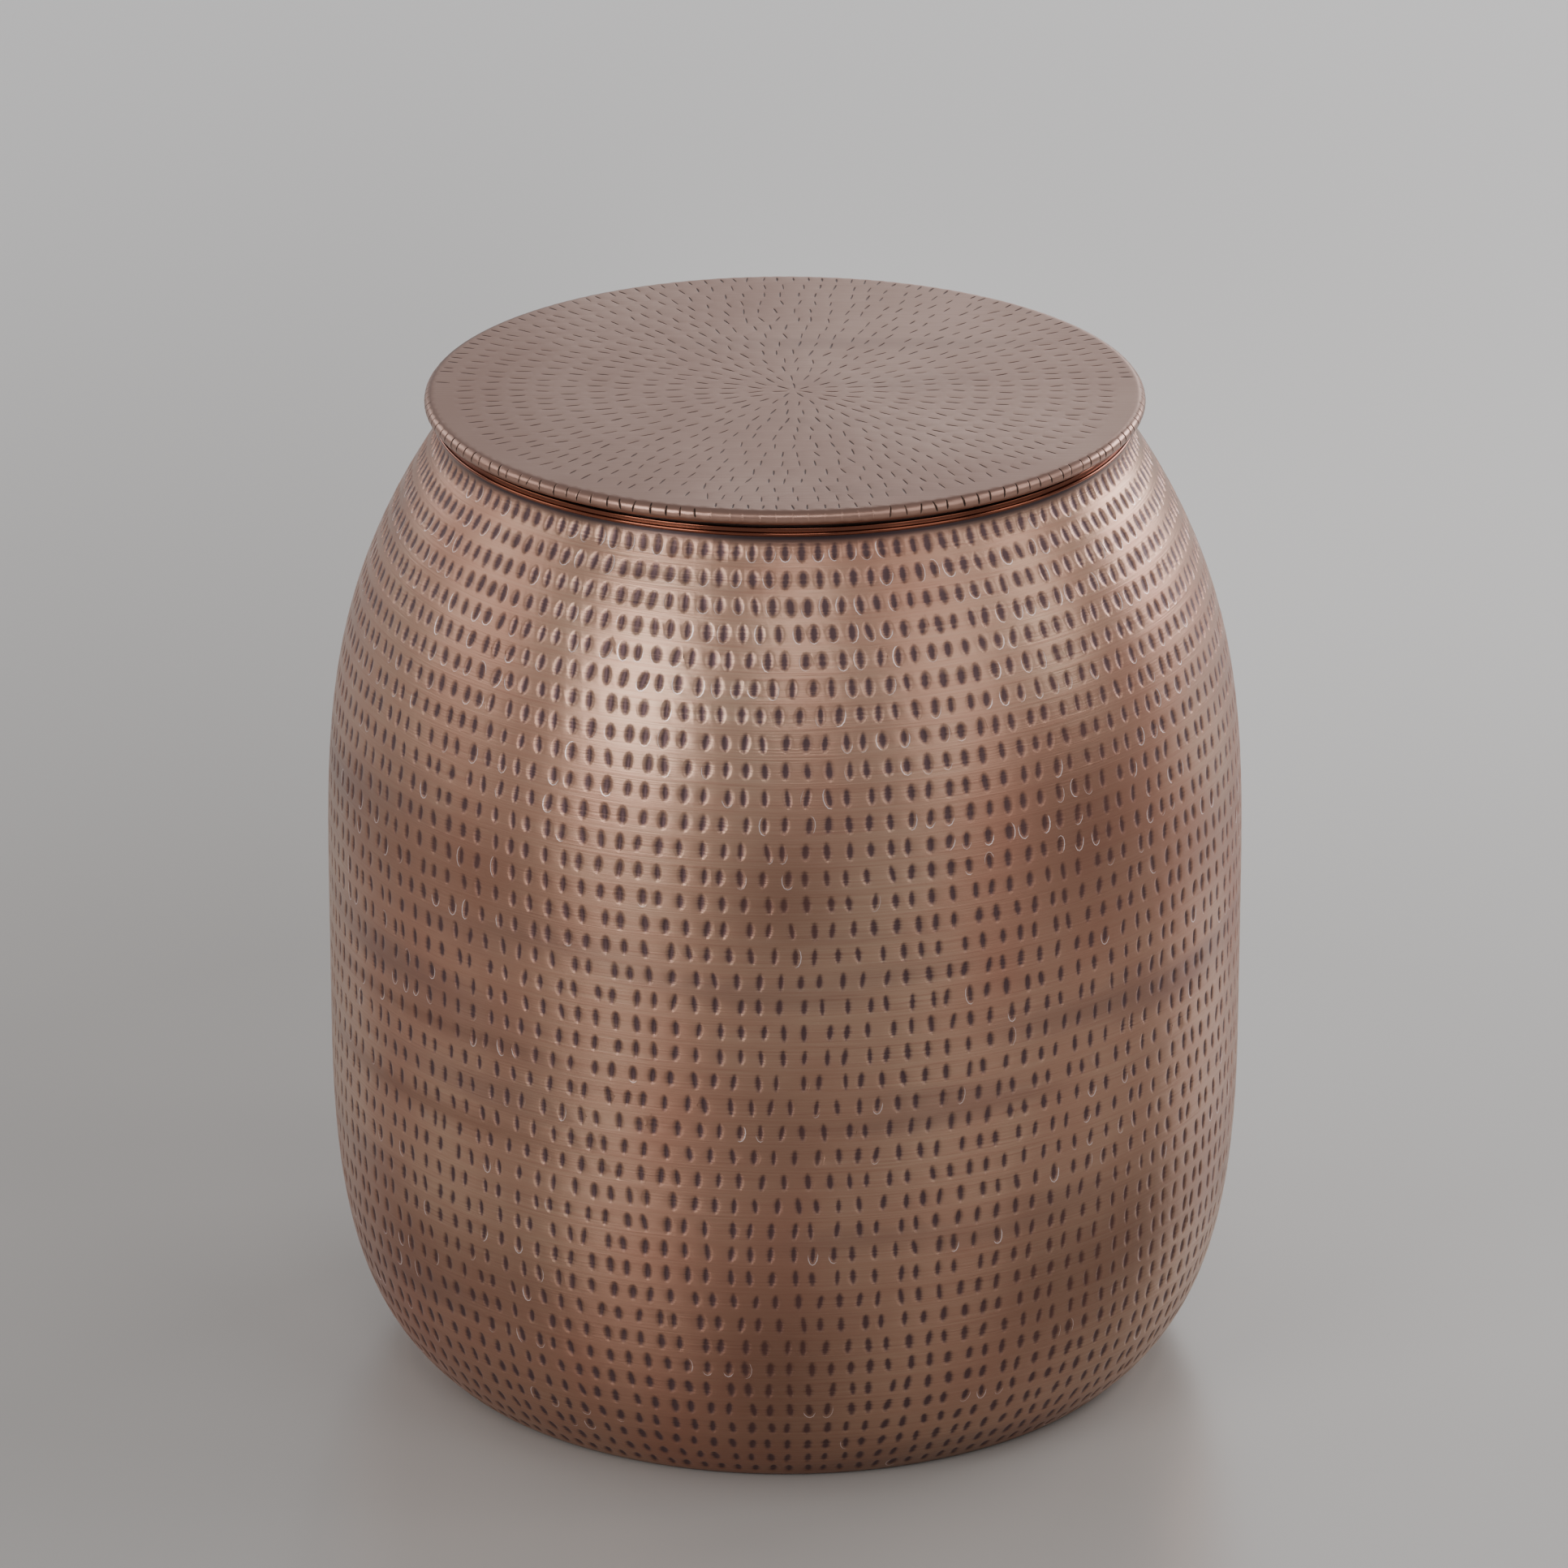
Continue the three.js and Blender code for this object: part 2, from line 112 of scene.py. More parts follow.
TIP_STEP = 0.75  # share of the steps outwards at a dent's upper and lower ends

# Cross-section of a dent, from the outside in. Each line gives the step out from the dent's edge,
# shares of its width, length and depth, how dark the patina is, and a share of the lip.
DENT_PROFILE = [
    (LIP_FOOT, 1.0, 1.0, 0.13, 0.0, 0),
    (LIP_CREST, 1.0, 1.0, 0.21, 0.07, 1.0),
    (0, 1.0, 1.0, 0.42, 0.34, 0),
    (0, 0.56, 0.74, 0.86, 0.8, 0),
]

# Finishes.
COLLAR_SHADE_START = 433.5 * MM  # painted shade: from here up to the collar the wall is painted near-black, for the collar's shadow
COLLAR_SHADE_END = 437 * MM
LINE_DEPTH = 0.05 * MM  # of the buffing wheel's lines
HOLLOW_SPREAD = 0.75  # from where the patina starts in a mark to where it is full
FINE_GRAIN = 0.02 * MM  # depth of grain on the tray, on bare steel and on moulded pieces
FIBRE_GRAIN = 0.05 * MM
POLISH_WAVES = 0.004 * MM
INSIDE_MARKS = 95  # per metre: the dents show inside as soft knobs
INSIDE_MARK_HEIGHT = 14  # times the depth of a line

# Darker patches on the drum, partly patina and partly painted reflection: those at the front stand in for
# dark stripes that the wall reflects. Angle round the drum, height, half sizes, strength.
PATINA_AND_REFLECTION_PATCHES = [
    (-90, 290 * MM, 8, 36 * MM, 0.7),
    (-90, 185 * MM, 7, 40 * MM, 0.45),
    (-90, 70 * MM, 9, 50 * MM, 0.8),
    (-50, 310 * MM, 10, 55 * MM, 0.75),
    (-52, 95 * MM, 14, 45 * MM, 0.75),
    (-28, 110 * MM, 16, 36 * MM, 0.6),
    (-24, 275 * MM, 14, 26 * MM, 0.45),
    (-130, 285 * MM, 16, 26 * MM, 0.4),
    (-158, 280 * MM, 20, 28 * MM, 0.5),
    (-145, 207 * MM, 24, 3.5 * MM, 0.55),
    (-145, 167 * MM, 26, 4 * MM, 0.65),
    (-142, 93 * MM, 26, 22 * MM, 0.5),
    (40, 260 * MM, 14, 60 * MM, 0.5),
    (75, 90 * MM, 16, 45 * MM, 0.5),
    (130, 180 * MM, 12, 70 * MM, 0.45),
    (165, 300 * MM, 18, 35 * MM, 0.4),
]

# Tray top: a flat sheet with its edge rolled down and under.
TRAY_TOP = 451.3 * MM
TRAY_RADIUS = 158.9 * MM
TRAY_SHEET = 0.9 * MM
ROLL_RADIUS = 3.3 * MM
ROLL_END = -150  # degrees
RUBBED_FROM = 155.2 * MM  # from here outwards the rolled edge is redder and smoother
RUBBED_TO = 156.4 * MM
ROLL_POINTS = 240
TOP_POINTS = 60
TRAY_NODES = 260
TRAY_INSIDE_RADII = (4 * MM, 150 * MM)  # first and last circle under the flat
TRAY_INSIDE_CIRCLES = 12
INSIDE_ROLL_STEP = 20  # degrees
OUTSIDE_ROLL_STEP = 12

# Nicks struck into the tray top with a chisel, in rings.
NICK_RING_STEP = 11.3 * MM
NICK_RINGS = 13
NICK_SPACING = 8.0 * MM
NICK_HALF_WIDTH = 0.42 * MM
NICK_HALF_LENGTH = 3.75 * MM
NICK_DEPTH = 0.25 * MM
NICK_WIDTHS = (0.75, 1.15)
NICK_LENGTHS = (0.75, 1.08)
NICK_DEPTHS = (0.6, 1.15)
NICK_TILT = 7  # degrees
NICK_SWAY = 1.5 * MM
NICK_CLIMB = 0.7 * MM
CROWDED_RADIUS = 60 * MM  # nearer the centre than this, the nicks crowd together
CROWDED_SPACING = 0.62  # share of their spacing that is left at the centre
CROWDED_SWAY = 0.08  # and of their sway
NICK_CENTRE = (4 * MM, -2 * MM)  # the rings of nicks were struck round this point
FIRST_NICK_RING = 6 * MM
BAND_GAP = 0.5 * MM  # plain strip between two rings of nick cells
NICK_PROFILE = [
    (0.30 * MM, 1.0, 1.0, 0, 0.0, 0),
    (0, 1.0, 1.0, 0.10, 0.4, 0),
    (0, 0.5, 0.85, 0.75, 0.95, 0),
]

# The outermost ring of nicks wanders between the rolled edge and the flat.
NOTCHES = 144
NOTCH_HALF_WIDTH = 0.5 * MM
NOTCH_HALF_LENGTH = 3.0 * MM
NOTCH_CLIMB = (-0.1, 0.3)  # how far a nick may stand off its place across the edge, mm
NOTCH_SWAY = 1 * MM
NOTCH_LOW = -42  # degrees on the rolled edge where their band starts
NOTCH_HIGH = 89  # and ends; a second band next to it lies on the flat
NOTCH_INSIDE = 148.4 * MM  # radius where the flat band ends
NOTCH_WANDER_AT = -90  # at the back and at this place in front the ring wanders on to the flat
NOTCH_WANDER_WIDE = 14
NOTCH_WAVERING = (0.4, 0.6)  # the level at which a nick changes over is drawn between these

# Collar round the drum's mouth, with a bead along its lower edge.
COLLAR_RADIUS = 153.3 * MM
COLLAR_SHEET = 0.8 * MM
COLLAR_TOP = 442.4 * MM
COLLAR_BOTTOM = 438.8 * MM
COLLAR_CORNER = 0.6 * MM
COLLAR_RETURN = 5.4 * MM
BEAD_RADIUS = 0.95 * MM
BEAD_STANDS_OUT = 0.75 * MM
MOUTH_RADIUS = 149.8 * MM
COLLAR_SEGMENTS = 288
OTHER_SEGMENTS = 192

SEAM_BAND_WIDTH = 24 * MM
SEAM_BAND_SHEET = 1 * MM
BASE_RECESS = 6 * MM
BASE_RECESS_RADIUS = 147 * MM
BASE_STEP = 3.5 * MM
BASE_FLANGE_HEIGHT = 11 * MM
BASE_FLANGE_POINTS = 5
WIRE_POINTS = 24

BOARD_RADIUS = 151.6 * MM
BOARD_THICKNESS = 4 * MM
BOARD_EDGE = 0.3 * MM
RING_SHEET = 1.2 * MM
RING_INNER = 130 * MM
RING_OUTER = 152 * MM
SKIRT_RADIUS = 147.8 * MM
SKIRT_DEPTH = 15 * MM

# Studio.
FLOOR_REACH = 14.0
NEAR_FLOOR = 0.5  # painted shade: the floor is painted darker round the table and grows paler from here
FAR_FLOOR = 2.2  # to here
LIGHT_AIM = 0.25  # height that every light looks at
CAMERA_PLACE = (-0.0004, -3.734, 1.756)
CAMERA_TILT = 68.22  # degrees
CAMERA_LENS = 205.96  # mm
CAMERA_SENSOR = 36  # mm
CAMERA_REACH = 60

board_top = TRAY_TOP - TRAY_SHEET - CLEARANCE
board_bottom = board_top - BOARD_THICKNESS
ring_top = board_bottom - CLEARANCE
ring_bottom = ring_top - RING_SHEET

# ---------------------------------------------------------------- outlines


def bezier(controls, count):
    """count + 1 points along the Bezier curve of these control points."""
    t = np.linspace(0, 1, count + 1)[:, None]
    level = [np.array(control, float)[None, :] for control in controls]
    while len(level) > 1:
        level = [a * (1 - t) + b * t for a, b in zip(level, level[1:])]
    return level[0]


def arc(centre, radius, start, end, count):
    """count + 1 points of (radius, height) round a centre, between two angles in degrees."""
    angle = np.radians(np.linspace(start, end, count + 1))
    return np.stack([centre[0] + radius * np.cos(angle), centre[1] + radius * np.sin(angle)], axis=1)


def joined(*runs):
    """One outline from several, leaving out points that repeat the one before."""
    points = np.concatenate([np.atleast_2d(np.array(run, float)) for run in runs])
    steps = np.linalg.norm(np.diff(points, axis=0), axis=1)
    return points[np.concatenate([[True], steps > 1e-7])]


class Outline:
    """A smooth line of (radius, height) points with its outside on the right, read by distance along it."""

    def __init__(self, points):
        self.points = points
        steps = np.linalg.norm(np.diff(points, axis=0), axis=1)
        self.distance = np.concatenate([[0], np.cumsum(steps)])
        self.length = self.distance[-1]
        along = np.gradient(points, self.distance, axis=0)
        along /= np.linalg.norm(along, axis=1, keepdims=True)
        self.normal = np.stack([along[:, 1], -along[:, 0]], axis=1)

    def read(self, values, distance):
        return np.interp(distance, self.distance, values)

    def radius(self, distance):
        return self.read(self.points[:, 0], distance)

    def distance_at_height(self, height):
        return float(np.interp(height, self.points[:, 1], self.distance))


# ---------------------------------------------------------------- hammered skin

BORDER_NODES = 12  # round each cell: 2 lengths along its bottom and top, 4 up each side
SIDE_NODES = np.array([0.25, 0.5, 0.75])
RING_ANGLES = np.radians(-90 + 30 * np.arange(BORDER_NODES))


class Circle:
    """A level circle of points on a skin."""

    def __init__(self, numbers, distance, phase):
        self.numbers = numbers
        self.distance = distance
        self.phase = phase
        self.count = len(numbers)

    def angle(self, index):
        return 2 * math.pi * (index + self.phase) / self.count


class Skin:
    """Points and faces of a surface of revolution with marks hammered into it."""

    def __init__(self, outline, shift=None, patches=()):
        self.outline = outline
        self.shift = shift
        self.patches = patches
        self.parts = []
        self.faces = []
        self.size = 0

    def add(self, distance, angle, height=0.0, dent=0.0, lip=0.0, inside=0.0):
        """Adds points given by distance along the outline, angle and height off it; returns their numbers."""
        values = np.broadcast_arrays(distance, angle, height, dent, lip, inside)
        self.parts.append(np.stack([value.ravel() for value in values], axis=1))
        numbers = self.size + np.arange(values[0].size).reshape(values[0].shape)
        self.size += values[0].size
        return numbers

    def circle(self, distance, count, phase=0.0, **more):
        angle = 2 * math.pi * (np.arange(count) + phase) / count
        return Circle(self.add(distance, angle, **more), distance, phase)

    def join_rings(self, outer, inner):
        """Quads between two closed rings of the same length, given as arrays with one ring per line."""
        quads = np.stack([outer, np.roll(outer, -1, axis=1), np.roll(inner, -1, axis=1), inner], axis=-1)
        self.faces += quads.reshape(-1, 4).tolist()

    def join_circles(self, low, high):
        """Faces between two level circles; their counts may differ."""
        if low.count == high.count and low.phase == high.phase:
            self.join_rings(low.numbers[None, :], high.numbers[None, :])
            return
        a = b = 0
        while a < low.count or b < high.count:
            low_now, low_next = low.numbers[a % low.count], low.numbers[(a + 1) % low.count]
            high_now, high_next = high.numbers[b % high.count], high.numbers[(b + 1) % high.count]
            if b >= high.count or (a < low.count and low.angle(a + 1) <= high.angle(b + 1)):
                self.faces.append([int(low_now), int(low_next), int(high_now)])
                a += 1
            else:
                self.faces.append([int(low_now), int(high_next), int(high_now)])
                b += 1

    def marked_row(self, low, high, marks):
        """Fills the band between two circles with cells, each holding one of the marks."""
        count = low.count // 2
        corner = 2 * np.arange(count)
        low_angle, high_angle = low.angle(corner), high.angle(corner)
        side_angle = low_angle[:, None] * (1 - SIDE_NODES) + high_angle[:, None] * SIDE_NODES
        side_distance = low.distance * (1 - SIDE_NODES) + high.distance * SIDE_NODES
        left = self.add(side_distance[None, :], side_angle)
        right = np.roll(left, -1, axis=0)

        def node(circle, step):
            return circle.numbers[(corner + step) % circle.count]

        border = np.stack(
            [node(low, 1), node(low, 2), *right.T, node(high, 2), node(high, 1), node(high, 0)]
            + [*left.T[::-1], node(low, 0)],
            axis=1,
        )
        middle_angle = (low_angle + high_angle) / 2 + 2 * math.pi / low.count
        middle_distance = (low.distance + high.distance) / 2
        radius = self.outline.radius(middle_distance)
        cos_tilt, sin_tilt = np.cos(marks["tilt"])[:, None], np.sin(marks["tilt"])[:, None]

        facing = np.cos(RING_ANGLES - marks["lip_towards"][:, None])
        facing = np.clip(marks["lip_round"][:, None] + LIP_ONE_SIDED * facing, 0, 1)
        beside = np.cos(RING_ANGLES) ** 2

        def ring(step, width_share, length_share, depth_share, dent, lip_share):
            u = (marks["half_width"][:, None] * width_share + step) * np.cos(RING_ANGLES)
            v = (marks["half_length"][:, None] * length_share + step * TIP_STEP) * np.sin(RING_ANGLES)
            turned_u = u * cos_tilt - v * sin_tilt + marks["across"][:, None]
            turned_v = u * sin_tilt + v * cos_tilt + marks["along"][:, None]
            lip = marks["lip"][:, None] * facing * lip_share
            sunk = depth_share * (beside if step else 1)
            return self.add(
                middle_distance + turned_v,
                middle_angle[:, None] + turned_u / radius,
                LIP_RISE * lip - marks["depth"][:, None] * sunk,
                dent * marks["shown"][:, None],
                lip,
            )

        rings = [border] + [ring(*shape) for shape in marks["profile"]]
        for outer, inner in zip(rings, rings[1:]):
            self.join_rings(outer, inner)
        bottom = self.add(
            middle_distance + marks["along"],
            middle_angle + marks["across"] / radius,
            -marks["depth"],
            marks["shown"],
        )
        last = rings[-1]
        middle = np.repeat(bottom[:, None], BORDER_NODES, 1)
        fan = np.stack([last, np.roll(last, -1, axis=1), middle], axis=-1)
        self.faces += fan.reshape(-1, 3).tolist()

    def fan(self, circle, centre, start=False):
        """Closes a circle with triangles to one point, at the start or the end of the outline's loop."""
        following = np.roll(circle.numbers, -1)
        pairs = zip(following, circle.numbers) if start else zip(circle.numbers, following)
        self.faces += [[int(a), int(b), int(centre)] for a, b in pairs]

    def build(self, name):
        """The mesh object, with what the materials need to know kept on its points."""
        distance, angle, height, dent, lip, inside = np.concatenate(self.parts).T
        radius = self.outline.radius(distance)
        level = self.outline.read(self.outline.points[:, 1], distance)
        radius = radius + height * self.outline.read(self.outline.normal[:, 0], distance)
        level = level + height * self.outline.read(self.outline.normal[:, 1], distance)
        x, y = radius * np.cos(angle), radius * np.sin(angle)
        if self.shift:
            move = self.shift(radius, level)
            x, y = x + move[0], y + move[1]
        patch = soft_patches(self.patches, angle, level)
        values = {"dent": dent, "lip": lip, "inside": inside, "patch": patch}
        return mesh_object(name, np.stack([x, y, level], axis=1), self.faces, values)


def soft_patches(patches, angle, height):
    """How strong the soft oval patches are at each point, from 0 to 1."""
    total = np.zeros_like(angle)
    for patch_angle, patch_height, half_angle, half_height, strength in patches:
        turn = (angle - math.radians(patch_angle) + math.pi) % (2 * math.pi) - math.pi
        far = (turn / math.radians(half_angle)) ** 2 + ((height - patch_height) / half_height) ** 2
        total += strength * np.exp(-far)
    return np.clip(total, 0, 1)


def mesh_object(name, points, faces, values=None, crease=60):
    """A smooth-shaded mesh object, sharp where faces meet at more than the crease angle in degrees."""
    mesh = bpy.data.meshes.new(name)
    mesh.from_pydata(np.asarray(points).tolist(), [], faces)
    for value_name, numbers in (values or {}).items():
        attribute = mesh.attributes.new(value_name, "FLOAT", "POINT")
        attribute.data.foreach_set("value", np.asarray(numbers, np.float32))
    mesh.shade_smooth()
    mesh.set_sharp_from_angle(angle=math.radians(crease))
    mesh.update()
    made = bpy.data.objects.new(name, mesh)
    bpy.context.collection.objects.link(made)
    return made


# ---------------------------------------------------------------- drum

foot_curve = bezier(FOOT_CURVE, CURVE_POINTS)
foot_curve = foot_curve[foot_curve[:, 1] > FLOOR_GAP]
foot_radius = foot_curve[0, 0] - FOOT_CORNER
foot_lip_radii = np.linspace(foot_radius - FOOT_LIP_WIDTH, foot_radius, FOOT_LIP_POINTS)
wall = Outline(
    joined(
        [(radius, FLOOR_GAP) for radius in foot_lip_radii],
        foot_curve,
        bezier(SHOULDER_CURVE, CURVE_POINTS),
        bezier(NECK_CURVE, NECK_POINTS),
        [(NECK_RADIUS, NECK_TOP)],
    )
)
seam_distance = wall.distance_at_height(SEAM_HEIGHT)


def dents(count, height, radius):
    """Sizes and places of one row of dents in the drum wall."""
    slim = np.interp(height, SLIM_HEIGHTS, SLIM_SHARES)
    cell = math.pi * radius / count - LIP_FOOT - DENT_MARGIN
    half_width = np.minimum(DENT_HALF_WIDTH * slim * dice.uniform(*DENT_WIDTHS, count), cell)
    return {
        "half_width": half_width,
        "half_length": DENT_HALF_HEIGHT * dice.uniform(*DENT_HEIGHTS, count),
        "depth": DENT_DEPTH * dice.uniform(*DENT_DEPTHS, count),
        "tilt": np.radians(dice.normal(0, DENT_TILT, count)),
        "across": dice.uniform(-1, 1, count) * np.minimum(cell - half_width, DENT_SWAY),
        "along": dice.uniform(-1, 1, count) * DENT_CLIMB,
        "lip": lips(count, height),
        "lip_towards": np.radians(dice.normal(LIP_SIDE, LIP_SIDE_SPREAD, count)),
        "lip_round": dice.uniform(*LIP_ROUNDNESS, count),
        "shown": np.ones(count),
        "profile": DENT_PROFILE,
    }


def lips(count, height):
    """Which dents of a row have a raised lip. They come in groups, more of them near the shoulder."""
    wave = 0
    for turns in LIP_WAVES:
        wave = wave + np.sin(2 * math.pi * (np.arange(count) * turns / count + dice.random()))
    share = np.interp(height, LIP_HEIGHTS, LIP_CHANCES)
    chance = np.clip(share + LIP_GROUPING * wave, 0, MOST_LIPS)
    return (dice.random(count) < chance) * dice.uniform(*LIP_STRENGTHS, count)


def row_phase(distance):
    """Where a row starts round the drum: the columns of dents run up the wall in slow waves."""
    rise = (distance - seam_distance) / COLUMN_WAVE
    return SEAM_PHASE + COLUMN_SWING * (math.sin(rise) + QUICK_SWING * math.sin(QUICK_PACE * rise))


def hammered_rows(skin, start, end, start_circle=None):
    """Rows of dents between two distances along the wall; returns the first and last circle."""
    rows = round((end - start) / ROW_HEIGHT)
    low = start_circle or skin.circle(start, WALL_NODES, row_phase(start))
    first = low
    for row in range(rows):
        edge = start + (end - start) * (row + 1) / rows
        high = skin.circle(edge, WALL_NODES, row_phase(edge))
        middle = (low.distance + high.distance) / 2
        height = skin.outline.read(skin.outline.points[:, 1], middle)
        marks = dents(DENTS_PER_ROW, height, skin.outline.radius(middle))
        skin.marked_row(low, high, marks)
        low = high
    return first, low


def inner_circles(skin, distances, phase):
    """Circles on the inside of the wall."""
    return [skin.circle(distance, WALL_NODES, phase, height=-SHEET, inside=1.0) for distance in distances]


def close_through(skin, circles):
    """Joins each circle of a run to the next."""
    for low, high in zip(circles, circles[1:]):
        skin.join_circles(low, high)


def upper_wall():
    """From the seam up to the neck outside, and back down to the seam inside."""
    skin = Skin(wall, patches=PATINA_AND_REFLECTION_PATCHES)
    seam = skin.circle(seam_distance, WALL_NODES, SEAM_PHASE)
    top_edge = wall.distance_at_height(TOP_ROW_EDGE)
    _, top = hammered_rows(skin, seam_distance, top_edge, seam)
    neck = skin.circle(wall.length, WALL_NODES, top.phase)
    inner = inner_circles(skin, np.linspace(wall.length, seam_distance, UPPER_INSIDE_CIRCLES), top.phase)
    skin.join_circles(top, neck)
    skin.join_circles(neck, inner[0])
    close_through(skin, inner)
    skin.join_circles(inner[-1], seam)
    return skin.build("upper_wall")


def lower_wall():
    """From the turned-in foot lip up to the seam outside, and back down to the lip inside."""
    skin = Skin(wall, patches=PATINA_AND_REFLECTION_PATCHES)
    low_edge = wall.distance_at_height(LOWEST_ROW_EDGE)
    bottom, seam = hammered_rows(skin, low_edge, seam_distance)
    lip_places = np.linspace(0, FOOT_LIP_WIDTH, FOOT_LIP_CIRCLES)
    lip = [skin.circle(distance, WALL_NODES, bottom.phase) for distance in lip_places]
    close_through(skin, [*lip, bottom])
    above_corner, past_corner = INSIDE_CORNER
    down = np.linspace(seam_distance, FOOT_LIP_WIDTH + above_corner, LOWER_INSIDE_CIRCLES)
    inner = inner_circles(skin, [*down, FOOT_LIP_WIDTH - past_corner, 0], bottom.phase)
    skin.join_circles(seam, inner[0])
    close_through(skin, inner)
    skin.join_circles(inner[-1], lip[0])
    return skin.build("lower_wall")


# ---------------------------------------------------------------- tray top

roll_centre = (TRAY_RADIUS - ROLL_RADIUS, TRAY_TOP - ROLL_RADIUS)
lid = Outline(
    joined(
        arc(roll_centre, ROLL_RADIUS, ROLL_END, 90, ROLL_POINTS),
        [(roll_centre[0] * (1 - step / TOP_POINTS), TRAY_TOP) for step in range(TOP_POINTS + 1)],
    )
)


def on_roll(degrees):
    """Distance along the lid's outline at an angle of the rolled edge."""
    return ROLL_RADIUS * math.radians(degrees - ROLL_END)


def on_top(radius):
    """Distance along the lid's outline at a radius of the flat top."""
    return on_roll(90) + roll_centre[0] - radius


def nick_shift(radius, level):
    """The rings of nicks run off centre in the middle of the top and true at its edge."""
    share = np.clip(1 - radius / BOARD_RADIUS, 0, 1)
    return NICK_CENTRE[0] * share, NICK_CENTRE[1] * share


def nicks(count, along, sway):
    """Sizes and places of one ring of chisel nicks in the tray top."""
    return {
        "half_width": NICK_HALF_WIDTH * dice.uniform(*NICK_WIDTHS, count),
        "half_length": NICK_HALF_LENGTH * dice.uniform(*NICK_LENGTHS, count),
        "depth": NICK_DEPTH * dice.uniform(*NICK_DEPTHS, count),
        "tilt": np.radians(dice.normal(0, NICK_TILT, count)),
        "across": dice.uniform(-1, 1, count) * sway,
        "along": along,
        "lip": np.zeros(count),
        "lip_towards": np.zeros(count),
        "lip_round": np.zeros(count),
        "shown": np.ones(count),
        "profile": NICK_PROFILE,
    }


def notches(shown):
    """The nicks of the outermost ring; only those shown are cut into the band."""
    marks = nicks(NOTCHES, dice.uniform(*NOTCH_CLIMB, NOTCHES) * MM, NOTCH_SWAY)
    marks["half_width"] *= NOTCH_HALF_WIDTH / NICK_HALF_WIDTH
    marks["half_length"] *= NOTCH_HALF_LENGTH / NICK_HALF_LENGTH
    marks["depth"] = marks["depth"] * shown
    marks["shown"] = shown
    return marks


def notches_on_flat():
    """1 for the outermost nicks that lie on the flat, 0 for those that lie on the rolled edge."""
    angle = np.arange(NOTCHES) * 360 / NOTCHES
    off = (angle - NOTCH_WANDER_AT + 180) % 360 - 180
    front = np.exp(-((off / NOTCH_WANDER_WIDE) ** 2))
    back = np.clip(0.3 + 2 * np.sin(np.radians(angle)), 0, 1)
    return (np.maximum(front, back) > dice.uniform(*NOTCH_WAVERING, NOTCHES)).astype(float)


def tray_skin():
    """From the centre of the underside out to the rolled edge, round it, and in over the top."""
    skin = Skin(lid, nick_shift)
    first, last = TRAY_INSIDE_RADII
    inside_run = [*np.linspace(on_top(first), on_top(last), TRAY_INSIDE_CIRCLES)]
    inside_run += [on_roll(degrees) for degrees in range(90, ROLL_END - 1, -INSIDE_ROLL_STEP)]
    inner = [skin.circle(distance, TRAY_NODES, height=-TRAY_SHEET, inside=1.0) for distance in inside_run]
    under_centre = skin.add([lid.length], [0.0], -TRAY_SHEET, inside=1.0)[0]
    skin.fan(inner[0], under_centre, start=True)
    close_through(skin, inner)
    hook_degrees = range(ROLL_END, NOTCH_LOW, OUTSIDE_ROLL_STEP)
    hook = [skin.circle(on_roll(degrees), TRAY_NODES) for degrees in hook_degrees]
    skin.join_circles(inner[-1], hook[0])
    close_through(skin, hook)

    on_flat = notches_on_flat()
    bands = [on_roll(NOTCH_LOW), on_roll(NOTCH_HIGH), on_top(NOTCH_INSIDE)]
    low, middle, high = [skin.circle(distance, 2 * NOTCHES) for distance in bands]
    skin.join_circles(hook[-1], low)
    skin.marked_row(low, middle, notches(1 - on_flat))
    skin.marked_row(middle, high, notches(on_flat))

    edge = high
    for ring in reversed(range(NICK_RINGS)):
        radius = FIRST_NICK_RING + NICK_RING_STEP * ring
        spacing = NICK_SPACING * np.interp(radius, [0, CROWDED_RADIUS], [CROWDED_SPACING, 1.0])
        count = round(2 * math.pi * radius / spacing)
        half_band = (NICK_RING_STEP - BAND_GAP) / 2
        phase = dice.random()
        low = skin.circle(on_top(radius + half_band), 2 * count, phase)
        high = skin.circle(on_top(radius - half_band), 2 * count, phase)
        skin.join_circles(edge, low)
        sway = NICK_SWAY * np.interp(radius, [0, CROWDED_RADIUS], [CROWDED_SWAY, 1.0])
        climb = dice.uniform(-NICK_CLIMB, NICK_CLIMB, count)
        skin.marked_row(low, high, nicks(count, climb, sway))
        edge = high
    centre = skin.add([lid.length], [0.0])[0]
    skin.fan(edge, centre)
    return skin.build("tray_skin")


# ---------------------------------------------------------------- plain turned pieces


def turned(name, outline, segments=OTHER_SEGMENTS, crease=40):
    """An outline of (radius, height) points turned about Z; it runs outwards underneath, then up outside."""
    points, rows, faces = [], [], []
    turns = 2 * math.pi * np.arange(segments) / segments
    for radius, height in outline:
        start = len(points)
        if radius < 1e-6:
            points.append((0, 0, height))
            rows.append([start] * segments)
        else:
            points += [(radius * math.cos(turn), radius * math.sin(turn), height) for turn in turns]
            rows.append(list(range(start, start + segments)))
    closed = outline[0][0] >= 1e-6
    following = rows[1:] + rows[:1] if closed else rows[1:]
    for low, high in zip(rows, following):
        for step in range(segments):
            after = (step + 1) % segments
            face = list(dict.fromkeys([low[step], low[after], high[after], high[step]]))
            faces.append(face)
    return mesh_object(name, points, faces, crease=crease)


